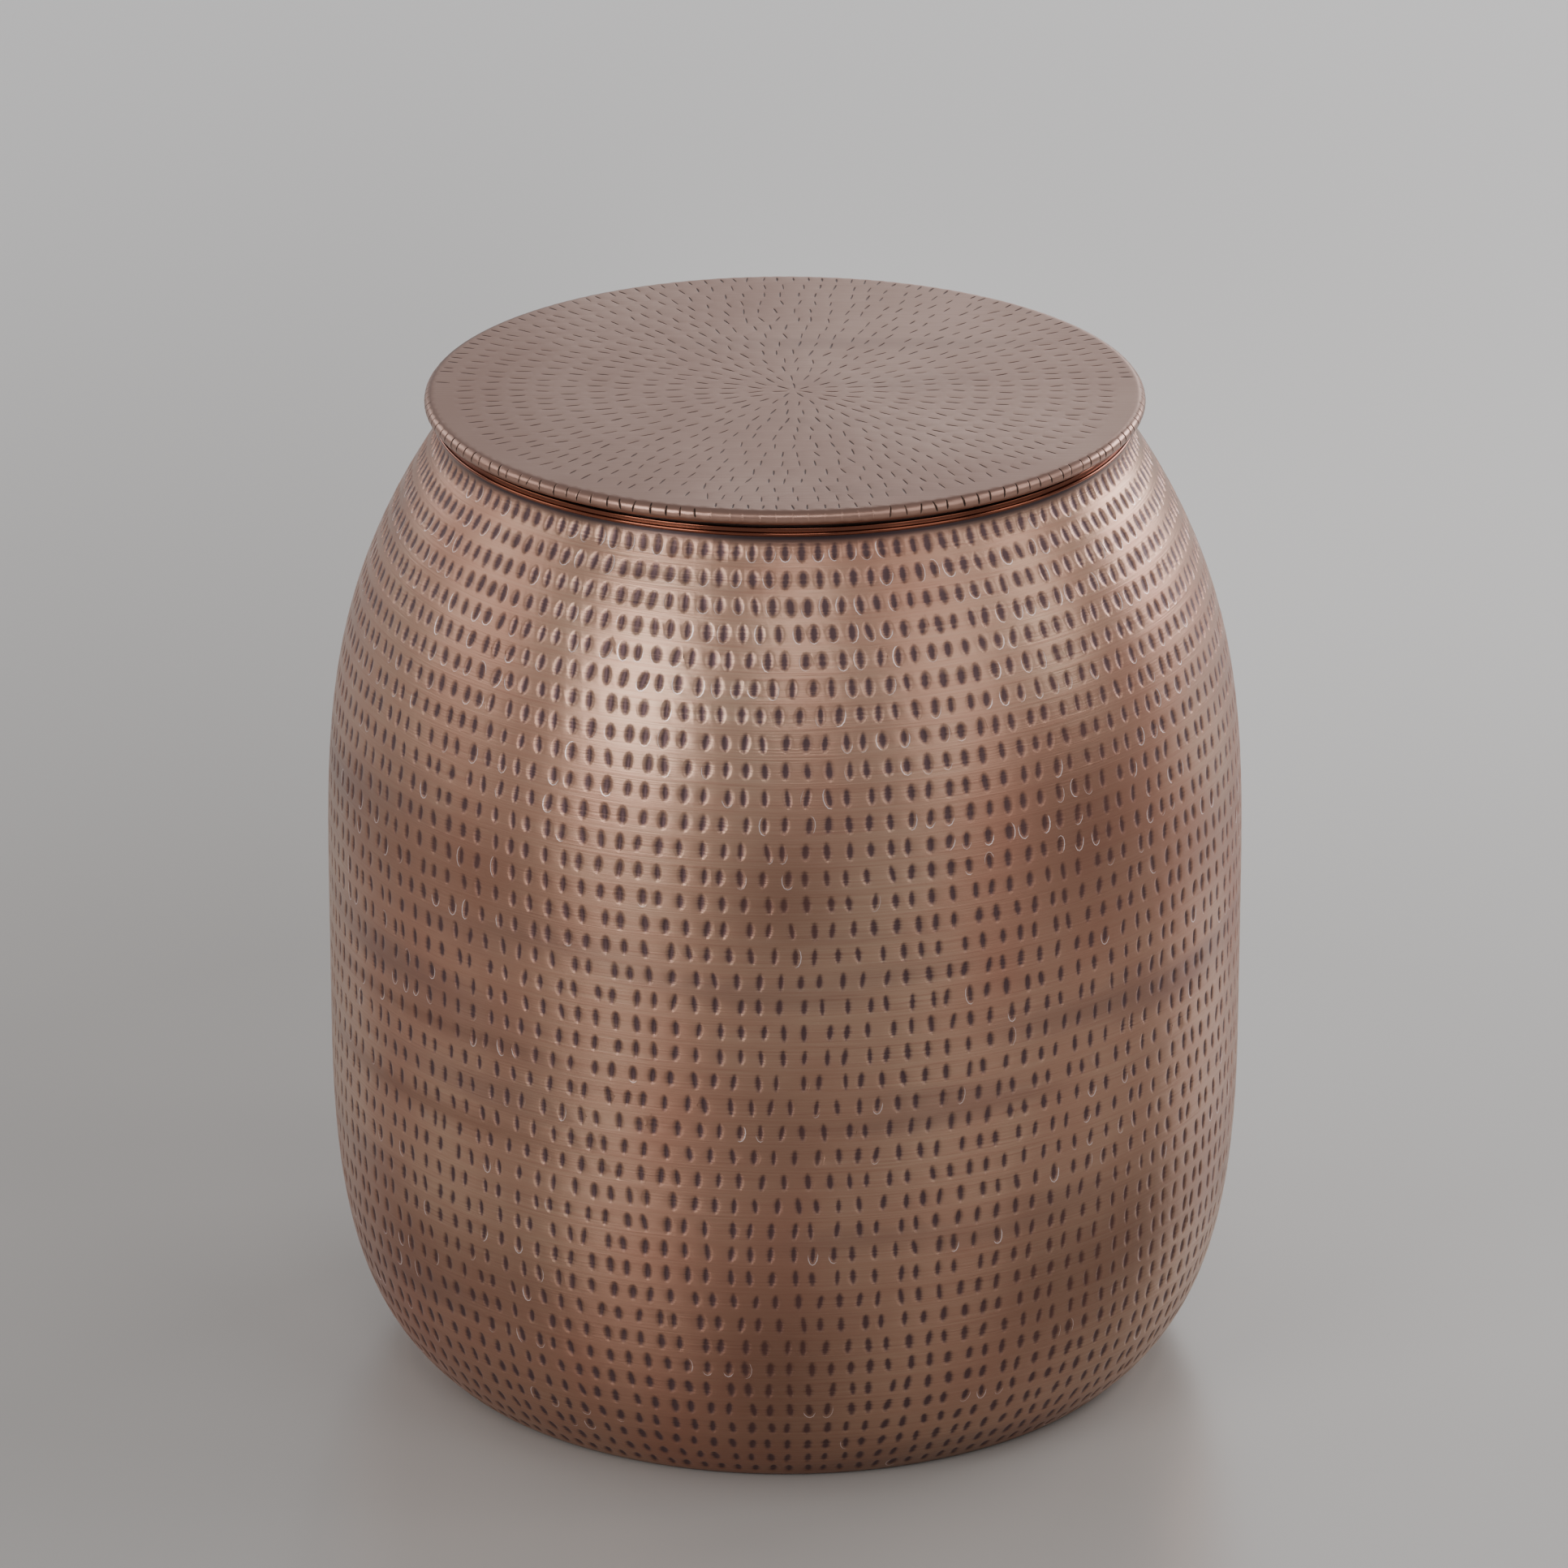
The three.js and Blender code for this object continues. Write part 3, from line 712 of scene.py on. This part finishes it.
def collar():
    """A flat cap on the neck, turned down inside the mouth, with a bead round its lower edge outside."""
    wall_inside = COLLAR_RADIUS - COLLAR_SHEET
    return_inside = MOUTH_RADIUS + COLLAR_SHEET
    return_end = COLLAR_TOP - COLLAR_RETURN
    cap_underside = COLLAR_TOP - COLLAR_SHEET
    bead_centre = (COLLAR_RADIUS + BEAD_STANDS_OUT, COLLAR_BOTTOM + BEAD_RADIUS)
    return turned(
        "collar",
        joined(
            [(wall_inside, COLLAR_BOTTOM)],
            arc(bead_centre, BEAD_RADIUS, -90, 120, 20),
            arc((COLLAR_RADIUS - COLLAR_CORNER, COLLAR_TOP - COLLAR_CORNER), COLLAR_CORNER, 0, 90, 6),
            arc((MOUTH_RADIUS + COLLAR_CORNER, COLLAR_TOP - COLLAR_CORNER), COLLAR_CORNER, 90, 180, 6),
            [(MOUTH_RADIUS, return_end), (return_inside, return_end)],
            [(return_inside, cap_underside), (wall_inside, cap_underside)],
        ),
        segments=COLLAR_SEGMENTS,
    )


def box_outline(inner, outer, low, high, edge=0.0):
    """A ring's four corners, the outer two taken off by a small edge."""
    if not edge:
        return [(inner, low), (outer, low), (outer, high), (inner, high)]
    lower_edge = [(outer - edge, low), (outer, low + edge)]
    upper_edge = [(outer, high - edge), (outer - edge, high)]
    return [(inner, low), *lower_edge, *upper_edge, (inner, high)]


def seam_strip():
    outer = BELLY_RADIUS - SHEET - CLEARANCE
    half = SEAM_BAND_WIDTH / 2
    section = box_outline(outer - SEAM_BAND_SHEET, outer, SEAM_HEIGHT - half, SEAM_HEIGHT + half)
    return turned("seam_strip", section)


def drum_floor():
    """A raised middle, a step down to the foot lip and a flange up the wall."""
    backing = SHEET + CLEARANCE
    seat = FLOOR_GAP + backing

    def along_wall(low, high, inset):
        ends = [wall.distance_at_height(height) for height in (low, high)]
        distance = np.linspace(*ends, BASE_FLANGE_POINTS)
        radius = wall.radius(distance) - inset * wall.read(wall.normal[:, 0], distance)
        height = wall.read(wall.points[:, 1], distance) - inset * wall.read(wall.normal[:, 1], distance)
        return np.stack([radius, height], axis=1)

    outside = along_wall(FLOOR_GAP + SHEET / 2, BASE_FLANGE_HEIGHT, backing)
    inside = along_wall(FLOOR_GAP + SHEET, BASE_FLANGE_HEIGHT, backing + SHEET)[::-1]
    step_radius = BASE_RECESS_RADIUS + BASE_STEP
    return turned(
        "drum_floor",
        joined(
            [(0, BASE_RECESS), (BASE_RECESS_RADIUS, BASE_RECESS), (step_radius, seat)],
            [(outside[0][0] - SHEET, seat)],
            outside,
            inside,
            [(step_radius + SHEET / 2, seat + SHEET), (BASE_RECESS_RADIUS + SHEET / 2, BASE_RECESS + SHEET)],
            [(0, BASE_RECESS + SHEET)],
        ),
    )


def rim_wire():
    wire_radius = ROLL_RADIUS - TRAY_SHEET - CLEARANCE
    return turned("rim_wire", arc(roll_centre, wire_radius, 0, 360 - 360 / WIRE_POINTS, WIRE_POINTS - 1))


def backing_board():
    return turned("backing_board", box_outline(0, BOARD_RADIUS, board_bottom, board_top, BOARD_EDGE))


def locating_hoop():
    """A flat ring under the board with a skirt that drops into the mouth."""
    skirt_inner = SKIRT_RADIUS - RING_SHEET
    skirt_bottom = ring_bottom - SKIRT_DEPTH
    return turned(
        "locating_hoop",
        [
            (RING_INNER, ring_bottom),
            (skirt_inner, ring_bottom),
            (skirt_inner, skirt_bottom),
            (SKIRT_RADIUS, skirt_bottom),
            (SKIRT_RADIUS, ring_bottom),
            (RING_OUTER, ring_bottom),
            (RING_OUTER, ring_top),
            (RING_INNER, ring_top),
        ],
    )


# ---------------------------------------------------------------- materials


class Nodes:
    """Adds nodes to a material or group and links them by socket name."""

    def __init__(self, tree):
        self.tree = tree

    def add(self, kind, settings=None, **sockets):
        node = self.tree.nodes.new(kind)
        for key, value in (settings or {}).items():
            setattr(node, key, value)
        for key, value in sockets.items():
            self.put(node.inputs[key.replace("_", " ")], value)
        return node

    def put(self, socket, value):
        if isinstance(value, bpy.types.NodeSocket):
            self.tree.links.new(value, socket)
        else:
            socket.default_value = value

    def maths(self, operation, *values):
        node = self.tree.nodes.new("ShaderNodeMath")
        node.operation = operation
        for socket, value in zip(node.inputs, values):
            self.put(socket, value)
        return node.outputs[0]

    def spread(self, value, low, high, to_low=0.0, to_high=1.0):
        """A value mapped from one range to another, held at the ends."""
        node = self.tree.nodes.new("ShaderNodeMapRange")
        for socket, number in zip(node.inputs, (value, low, high, to_low, to_high)):
            self.put(socket, number)
        return node.outputs["Result"]

    def vector_maths(self, operation, *values):
        """Maths on vectors; a length comes out as a number."""
        node = self.add("ShaderNodeVectorMath", {"operation": operation})
        for socket, value in zip(node.inputs, values):
            self.put(socket, value)
        return node.outputs["Value" if operation == "LENGTH" else "Vector"]

    def mix(self, factor, first, second):
        node = self.tree.nodes.new("ShaderNodeMix")
        node.data_type = "RGBA"
        for name, value in (("Factor_Float", factor), ("A_Color", first), ("B_Color", second)):
            socket = next(s for s in node.inputs if s.identifier == name)
            self.put(socket, value)
        return next(s for s in node.outputs if s.identifier == "Result_Color")

    def noise(self, place, scale, stretch, detail=3.0, roughness=0.55):
        """Noise with its own stretch along each axis; scale is in features per metre."""
        mapping = self.add("ShaderNodeMapping")
        self.put(mapping.inputs["Vector"], place)
        mapping.inputs["Scale"].default_value = stretch
        return self.add(
            "ShaderNodeTexNoise",
            Vector=mapping.outputs[0],
            Scale=scale,
            Detail=detail,
            Roughness=roughness,
        ).outputs[0]

    def place(self):
        return self.tree.nodes.new("ShaderNodeTexCoord").outputs["Object"]

    def attribute(self, name):
        return self.add("ShaderNodeAttribute", {"attribute_name": name}).outputs["Fac"]


def colour(red, green, blue):
    return (red, green, blue, 1.0)


def shader_group(name, inputs, outputs):
    """An empty node group with named number and colour sockets."""
    tree = bpy.data.node_groups.new(name, "ShaderNodeTree")
    kinds = {"number": "NodeSocketFloat", "colour": "NodeSocketColor", "vector": "NodeSocketVector"}
    for socket_name, kind, value in inputs:
        socket = tree.interface.new_socket(socket_name, in_out="INPUT", socket_type=kinds[kind])
        if value is not None:
            socket.default_value = value
    for socket_name, kind in outputs:
        tree.interface.new_socket(socket_name, in_out="OUTPUT", socket_type=kinds[kind])
    nodes = Nodes(tree)
    return tree, nodes, tree.nodes.new("NodeGroupInput").outputs, tree.nodes.new("NodeGroupOutput").inputs


def brushed_lines_group():
    """Fine level lines left by a buffing wheel, from 0 to 1."""
    tree, nodes, given, result = shader_group(
        "brushed_lines",
        [("Place", "vector", None), ("Lines per metre", "number", 900.0), ("Length", "number", 0.03)],
        [("Lines", "number")],
    )
    stretch = nodes.add("ShaderNodeCombineXYZ", X=given["Length"], Y=given["Length"], Z=1.0)
    noise = nodes.add(
        "ShaderNodeTexNoise",
        Vector=nodes.vector_maths("MULTIPLY", given["Place"], stretch.outputs[0]),
        Scale=given["Lines per metre"],
        Detail=2.0,
        Roughness=0.6,
    )
    nodes.put(result["Lines"], nodes.spread(noise.outputs[0], 0.3, 0.7))
    return tree


def copper_patina_group():
    """Brown patina over copper: clouds, level smudges and dark hollows."""
    tree, nodes, given, result = shader_group(
        "copper_patina",
        [
            ("Place", "vector", None),
            ("Lines", "number", 0.5),
            ("Hollow", "number", 0.0),
            ("Bright copper", "colour", None),
            ("Dull copper", "colour", None),
            ("Patina", "colour", None),
            ("Hollow start", "number", 0.2),
            ("Cloud size", "number", 9.0),
            ("Smudge strength", "number", 0.5),
        ],
        [("Colour", "colour"), ("Clouds", "number"), ("Hollows", "number")],
    )
    clouds = nodes.spread(nodes.noise(given["Place"], given["Cloud size"], (1, 1, 0.7), 3.0), 0.32, 0.68)
    smudges = nodes.spread(nodes.noise(given["Place"], 26.0, (0.16, 0.16, 1), 2.0), 0.56, 0.74)
    smudges = nodes.maths("MULTIPLY", smudges, given["Smudge strength"])
    base = nodes.mix(clouds, given["Dull copper"], given["Bright copper"])
    lined = nodes.mix(nodes.spread(given["Lines"], 0, 1, 0.0, 0.5), base, given["Dull copper"])
    smudged = nodes.mix(smudges, lined, given["Patina"])
    ragged = nodes.maths("ADD", given["Hollow"], nodes.spread(given["Lines"], 0, 1, -0.16, 0.16))
    end = nodes.maths("ADD", given["Hollow start"], HOLLOW_SPREAD)
    hollows = nodes.spread(ragged, given["Hollow start"], end)
    nodes.put(result["Colour"], nodes.mix(hollows, smudged, given["Patina"]))
    nodes.put(result["Clouds"], clouds)
    nodes.put(result["Hollows"], hollows)
    return tree


brushed_lines = brushed_lines_group()
copper_patina = copper_patina_group()


def new_material(name, metallic=0.0):
    """A material, its nodes and its Principled BSDF."""
    material = bpy.data.materials.new(name)
    material.use_nodes = True
    tree = material.node_tree
    shader = next(node for node in tree.nodes if node.type == "BSDF_PRINCIPLED")
    shader.inputs["Metallic"].default_value = metallic
    return material, Nodes(tree), shader


def placed_group(nodes, tree, values):
    """Places a node group with its values by socket name; gives its outputs."""
    node = nodes.tree.nodes.new("ShaderNodeGroup")
    node.node_tree = tree
    for name, value in values.items():
        nodes.put(node.inputs[name], value)
    return node.outputs


def level_lines(nodes, place, per_metre, length):
    """The buffing wheel's lines on one material."""
    values = {"Place": place, "Lines per metre": per_metre, "Length": length}
    return placed_group(nodes, brushed_lines, values)["Lines"]


def bumped(nodes, shader, height, depth):
    """Feeds a height, as deep as given, to the shader's normal."""
    bump = nodes.tree.nodes.new("ShaderNodeBump")
    bump.inputs["Distance"].default_value = depth
    bump.inputs["Strength"].default_value = 1.0
    nodes.put(bump.inputs["Height"], height)
    nodes.put(shader.inputs["Normal"], bump.outputs[0])


def hammered_copper():
    material, nodes, shader = new_material("hammered_copper", metallic=1.0)
    place = nodes.place()
    lines = level_lines(nodes, place, 1200.0, 0.02)
    patina = placed_group(
        nodes,
        copper_patina,
        {
            "Place": place,
            "Lines": lines,
            "Hollow": nodes.attribute("dent"),
            "Bright copper": colour(0.53, 0.355, 0.25),
            "Dull copper": colour(0.38, 0.187, 0.129),
            "Patina": colour(0.115, 0.07, 0.072),
            "Hollow start": 0.1,
            "Cloud size": 8.0,
            "Smudge strength": 0.4,
        },
    )
    level = nodes.add("ShaderNodeSeparateXYZ", Vector=place).outputs["Z"]
    # partly patina, partly painted reflection: soft dark patches, those at the front painted where dark
    # stripes are reflected
    patina_and_reflection_share = nodes.maths("MULTIPLY", nodes.attribute("patch"), 0.7)
    patched = nodes.mix(patina_and_reflection_share, patina["Colour"], colour(0.15, 0.065, 0.045))
    # painted highlight: the raised lips are painted pale pink-white, for the light they catch, mostly on the
    # shoulder
    lip = nodes.spread(nodes.attribute("lip"), 0.52, 0.78)
    lit = nodes.mix(lip, patched, colour(0.78, 0.63, 0.61))
    # painted shade: the wall just under the collar is painted near-black blue, where the collar's shadow
    # falls
    collar_shade = nodes.spread(level, COLLAR_SHADE_START, COLLAR_SHADE_END, 0.0, 0.9)
    collar_shaded = nodes.mix(collar_shade, lit, colour(0.03, 0.027, 0.036))
    inside = nodes.attribute("inside")
    nodes.put(shader.inputs["Base Color"], nodes.mix(inside, collar_shaded, colour(0.30, 0.19, 0.145)))
    roughness = nodes.spread(patina["Clouds"], 0, 1, 0.42, 0.34)
    roughness = nodes.maths("ADD", roughness, nodes.maths("MULTIPLY", patina["Hollows"], 0.12))
    rougher_inside = nodes.maths("MULTIPLY", inside, 0.15)
    nodes.put(shader.inputs["Roughness"], nodes.maths("ADD", roughness, rougher_inside))
    shader.inputs["Anisotropic"].default_value = 0.6
    shader.inputs["Anisotropic Rotation"].default_value = 0.25
    hammering = nodes.add("ShaderNodeTexVoronoi", Vector=place, Scale=INSIDE_MARKS).outputs["Distance"]
    knobs = nodes.maths("MULTIPLY", inside, nodes.maths("MULTIPLY", hammering, -INSIDE_MARK_HEIGHT))
    bumped(nodes, shader, nodes.maths("ADD", lines, knobs), LINE_DEPTH)
    return material


def tray_copper():
    material, nodes, shader = new_material("tray_copper", metallic=1.0)
    place = nodes.place()
    across = nodes.add("ShaderNodeMapping")
    nodes.put(across.inputs["Vector"], place)
    across.inputs["Rotation"].default_value = (math.radians(90), 0, 0)
    lines = level_lines(nodes, across.outputs[0], 700.0, 0.02)
    patina = placed_group(
        nodes,
        copper_patina,
        {
            "Place": across.outputs[0],
            "Lines": lines,
            "Hollow": nodes.attribute("dent"),
            "Bright copper": colour(0.43, 0.285, 0.23),
            "Dull copper": colour(0.36, 0.228, 0.183),
            "Patina": colour(0.12, 0.08, 0.07),
            "Hollow start": 0.15,
            "Cloud size": 9.0,
            "Smudge strength": 0.22,
        },
    )
    from_axis = nodes.vector_maths("LENGTH", nodes.vector_maths("MULTIPLY", place, (1, 1, 0)))
    rolled = nodes.spread(from_axis, RUBBED_FROM, RUBBED_TO)
    edge_copper = nodes.mix(patina["Hollows"], colour(0.37, 0.22, 0.17), colour(0.04, 0.025, 0.02))
    nodes.put(shader.inputs["Base Color"], nodes.mix(rolled, patina["Colour"], edge_copper))
    matte = nodes.spread(patina["Clouds"], 0, 1, 0.56, 0.5)
    smoother_edge = nodes.maths("MULTIPLY", rolled, 0.2)
    nodes.put(shader.inputs["Roughness"], nodes.maths("SUBTRACT", matte, smoother_edge))
    bumped(nodes, shader, lines, FINE_GRAIN)
    return material


def polished_copper():
    material, nodes, shader = new_material("polished_copper", metallic=1.0)
    place = nodes.place()
    lines = level_lines(nodes, place, 2400.0, 0.02)
    clouds = nodes.spread(nodes.noise(place, 12.0, (1, 1, 2)), 0.3, 0.7)
    # painted shade: the collar's copper is painted dark red-brown, for the dark shoulder and shadowed tray
    # underside that it reflects
    nodes.put(
        shader.inputs["Base Color"],
        nodes.mix(clouds, colour(0.17, 0.058, 0.035), colour(0.26, 0.09, 0.052)),
    )
    nodes.put(shader.inputs["Roughness"], nodes.spread(lines, 0, 1, 0.11, 0.17))
    bumped(nodes, shader, clouds, POLISH_WAVES)
    return material


def raw_steel():
    material, nodes, shader = new_material("raw_steel", metallic=1.0)
    place = nodes.place()
    lines = level_lines(nodes, place, 500.0, 0.2)
    clouds = nodes.spread(nodes.noise(place, 20.0, (1, 1, 1), 5.0), 0.35, 0.65)
    nodes.put(
        shader.inputs["Base Color"],
        nodes.mix(clouds, colour(0.20, 0.185, 0.17), colour(0.34, 0.325, 0.31)),
    )
    nodes.put(shader.inputs["Roughness"], nodes.spread(clouds, 0, 1, 0.52, 0.4))
    bumped(nodes, shader, lines, FINE_GRAIN)
    return material


def zinc_steel():
    material, nodes, shader = new_material("zinc_steel", metallic=1.0)
    clouds = nodes.spread(nodes.noise(nodes.place(), 300.0, (1, 1, 1)), 0.35, 0.65)
    nodes.put(
        shader.inputs["Base Color"],
        nodes.mix(clouds, colour(0.52, 0.54, 0.55), colour(0.66, 0.67, 0.67)),
    )
    nodes.put(shader.inputs["Roughness"], nodes.spread(clouds, 0, 1, 0.38, 0.28))
    return material


def fibreboard():
    material, nodes, shader = new_material("fibreboard")
    place = nodes.place()
    fibres = nodes.spread(nodes.noise(place, 700.0, (1, 0.35, 1), 4.0), 0.35, 0.65)
    clouds = nodes.spread(nodes.noise(place, 25.0, (1, 1, 1), 3.0), 0.3, 0.7)
    brown = nodes.mix(clouds, colour(0.27, 0.165, 0.095), colour(0.34, 0.22, 0.13))
    nodes.put(shader.inputs["Base Color"], nodes.mix(fibres, brown, colour(0.42, 0.29, 0.18)))
    nodes.put(shader.inputs["Roughness"], nodes.spread(fibres, 0, 1, 0.85, 0.72))
    bumped(nodes, shader, fibres, FIBRE_GRAIN)
    return material


def moulded(name, dark, light, grain, low, high):
    """Plastic or rubber with a fine moulded grain."""
    material, nodes, shader = new_material(name)
    speckle = nodes.spread(nodes.noise(nodes.place(), grain, (1, 1, 1), 4.0), 0.35, 0.65)
    nodes.put(shader.inputs["Base Color"], nodes.mix(speckle, dark, light))
    nodes.put(shader.inputs["Roughness"], nodes.spread(speckle, 0, 1, high, low))
    bumped(nodes, shader, speckle, FINE_GRAIN)
    return material


MATERIALS = {
    "hammered_copper": hammered_copper(),
    "tray_copper": tray_copper(),
    "polished_copper": polished_copper(),
    "raw_steel": raw_steel(),
    "zinc_steel": zinc_steel(),
    "fibreboard": fibreboard(),
    "glide_plastic": moulded(
        "glide_plastic", colour(0.018, 0.018, 0.019), colour(0.03, 0.03, 0.031), 900.0, 0.5, 0.62
    ),
    "pad_rubber": moulded(
        "pad_rubber", colour(0.022, 0.021, 0.02), colour(0.035, 0.034, 0.033), 500.0, 0.75, 0.9
    ),
}


def finish_piece(piece, body, slot_name, *nodes):
    """Gives a new piece its material, the body that it moves with and the nodes it stands for."""
    piece.data.materials.append(MATERIALS[slot_name])
    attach(piece, body)
    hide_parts(*nodes)


finish_piece(upper_wall(), "drum", "hammered_copper", "upper_shell")
finish_piece(lower_wall(), "drum", "hammered_copper", "lower_shell")
finish_piece(collar(), "drum", "polished_copper", "neck_collar")
finish_piece(seam_strip(), "drum", "raw_steel", "seam_band")
finish_piece(drum_floor(), "drum", "raw_steel", "base_plate")
finish_piece(tray_skin(), "tray", "tray_copper", "tray_top")
finish_piece(rim_wire(), "tray", "raw_steel", "tray_rim_wire")
finish_piece(backing_board(), "tray", "fibreboard", "tray_board")
finish_piece(locating_hoop(), "tray", "raw_steel", "locating_ring")

# ---------------------------------------------------------------- floor, light and camera


def floor():
    """A plain floor with painted shade: darker near the table, a good deal paler far from it."""
    corners = [(FLOOR_REACH * x, FLOOR_REACH * y, 0) for x, y in ((-1, -1), (1, -1), (1, 1), (-1, 1))]
    made = mesh_object("studio_floor", corners, [(0, 1, 2, 3)])
    material, nodes, shader = new_material("pale_floor")
    away = nodes.vector_maths("LENGTH", nodes.place())
    # painted shade: the floor colour is darker near the table than far off
    far = nodes.spread(away, NEAR_FLOOR, FAR_FLOOR)
    floor_colour = nodes.mix(far, colour(0.40, 0.377, 0.353), colour(0.78, 0.76, 0.735))
    nodes.put(shader.inputs["Base Color"], floor_colour)
    shader.inputs["Roughness"].default_value = 0.28
    made.data.materials.append(material)


def softbox(name, azimuth, distance, height, width, tall, power, tint=(1, 1, 1)):
    """A soft light panel: degrees to the right of the camera's side, metres, then watts."""
    light = bpy.data.lights.new(name, "AREA")
    light.shape = "RECTANGLE"
    light.size = width
    light.size_y = tall
    light.energy = power
    light.color = tint
    made = bpy.data.objects.new(name, light)
    turn = math.radians(azimuth)
    made.location = (distance * math.sin(turn), -distance * math.cos(turn), height)
    drop = math.atan2(height - LIGHT_AIM, distance)
    made.rotation_euler = (math.pi / 2 - drop, 0, turn)
    bpy.context.collection.objects.link(made)


floor()
softbox("key_left", -40, 2.6, 1.3, 1.2, 1.4, 27)
softbox("side_left", -92, 2.6, 1.3, 1.5, 1.3, 11)
softbox("front_high", 4, 2.6, 2.2, 0.9, 0.7, 10)
softbox("front_right", 45, 2.6, 1.6, 1.3, 2.2, 13)
softbox("side_right", 80, 2.6, 1.5, 0.9, 1.2, 7)
softbox("shoulder_right", 88, 2.6, 2.9, 0.7, 0.7, 8)
softbox("rim_right", 128, 2.4, 1.0, 1.4, 0.8, 26, (0.98, 0.97, 1.0))
softbox("back_left", -134, 2.8, 1.4, 1.5, 1.2, 12)
softbox("back_right", 170, 2.8, 1.2, 1.3, 1.2, 10)

world = bpy.data.worlds.new("studio")
world.use_nodes = True
background = next(node for node in world.node_tree.nodes if node.type == "BACKGROUND")
background.inputs["Color"].default_value = colour(0.93, 0.95, 1.0)
background.inputs["Strength"].default_value = 0.42
bpy.context.scene.world = world

camera = bpy.data.cameras.new("camera")
camera.sensor_width = CAMERA_SENSOR
camera.lens = CAMERA_LENS
camera.clip_end = CAMERA_REACH
viewer = bpy.data.objects.new("camera", camera)
viewer.location = CAMERA_PLACE
viewer.rotation_euler = (math.radians(CAMERA_TILT), 0, 0)
bpy.context.collection.objects.link(viewer)
bpy.context.scene.camera = viewer

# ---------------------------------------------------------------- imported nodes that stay

for slot_name, node_names in {
    "glide_plastic": [f"glide_{n}" for n in range(1, 5)],
    "pad_rubber": [f"rest_pad_{n}" for n in range(1, 5)],
    "zinc_steel": [f"{kind}_{n}" for kind in ("glide_screw", "glide_nut", "ring_screw") for n in range(1, 5)],
}.items():
    for node_name in node_names:
        for slot in bpy.data.objects[node_name].material_slots:
            slot.material = MATERIALS[slot_name]
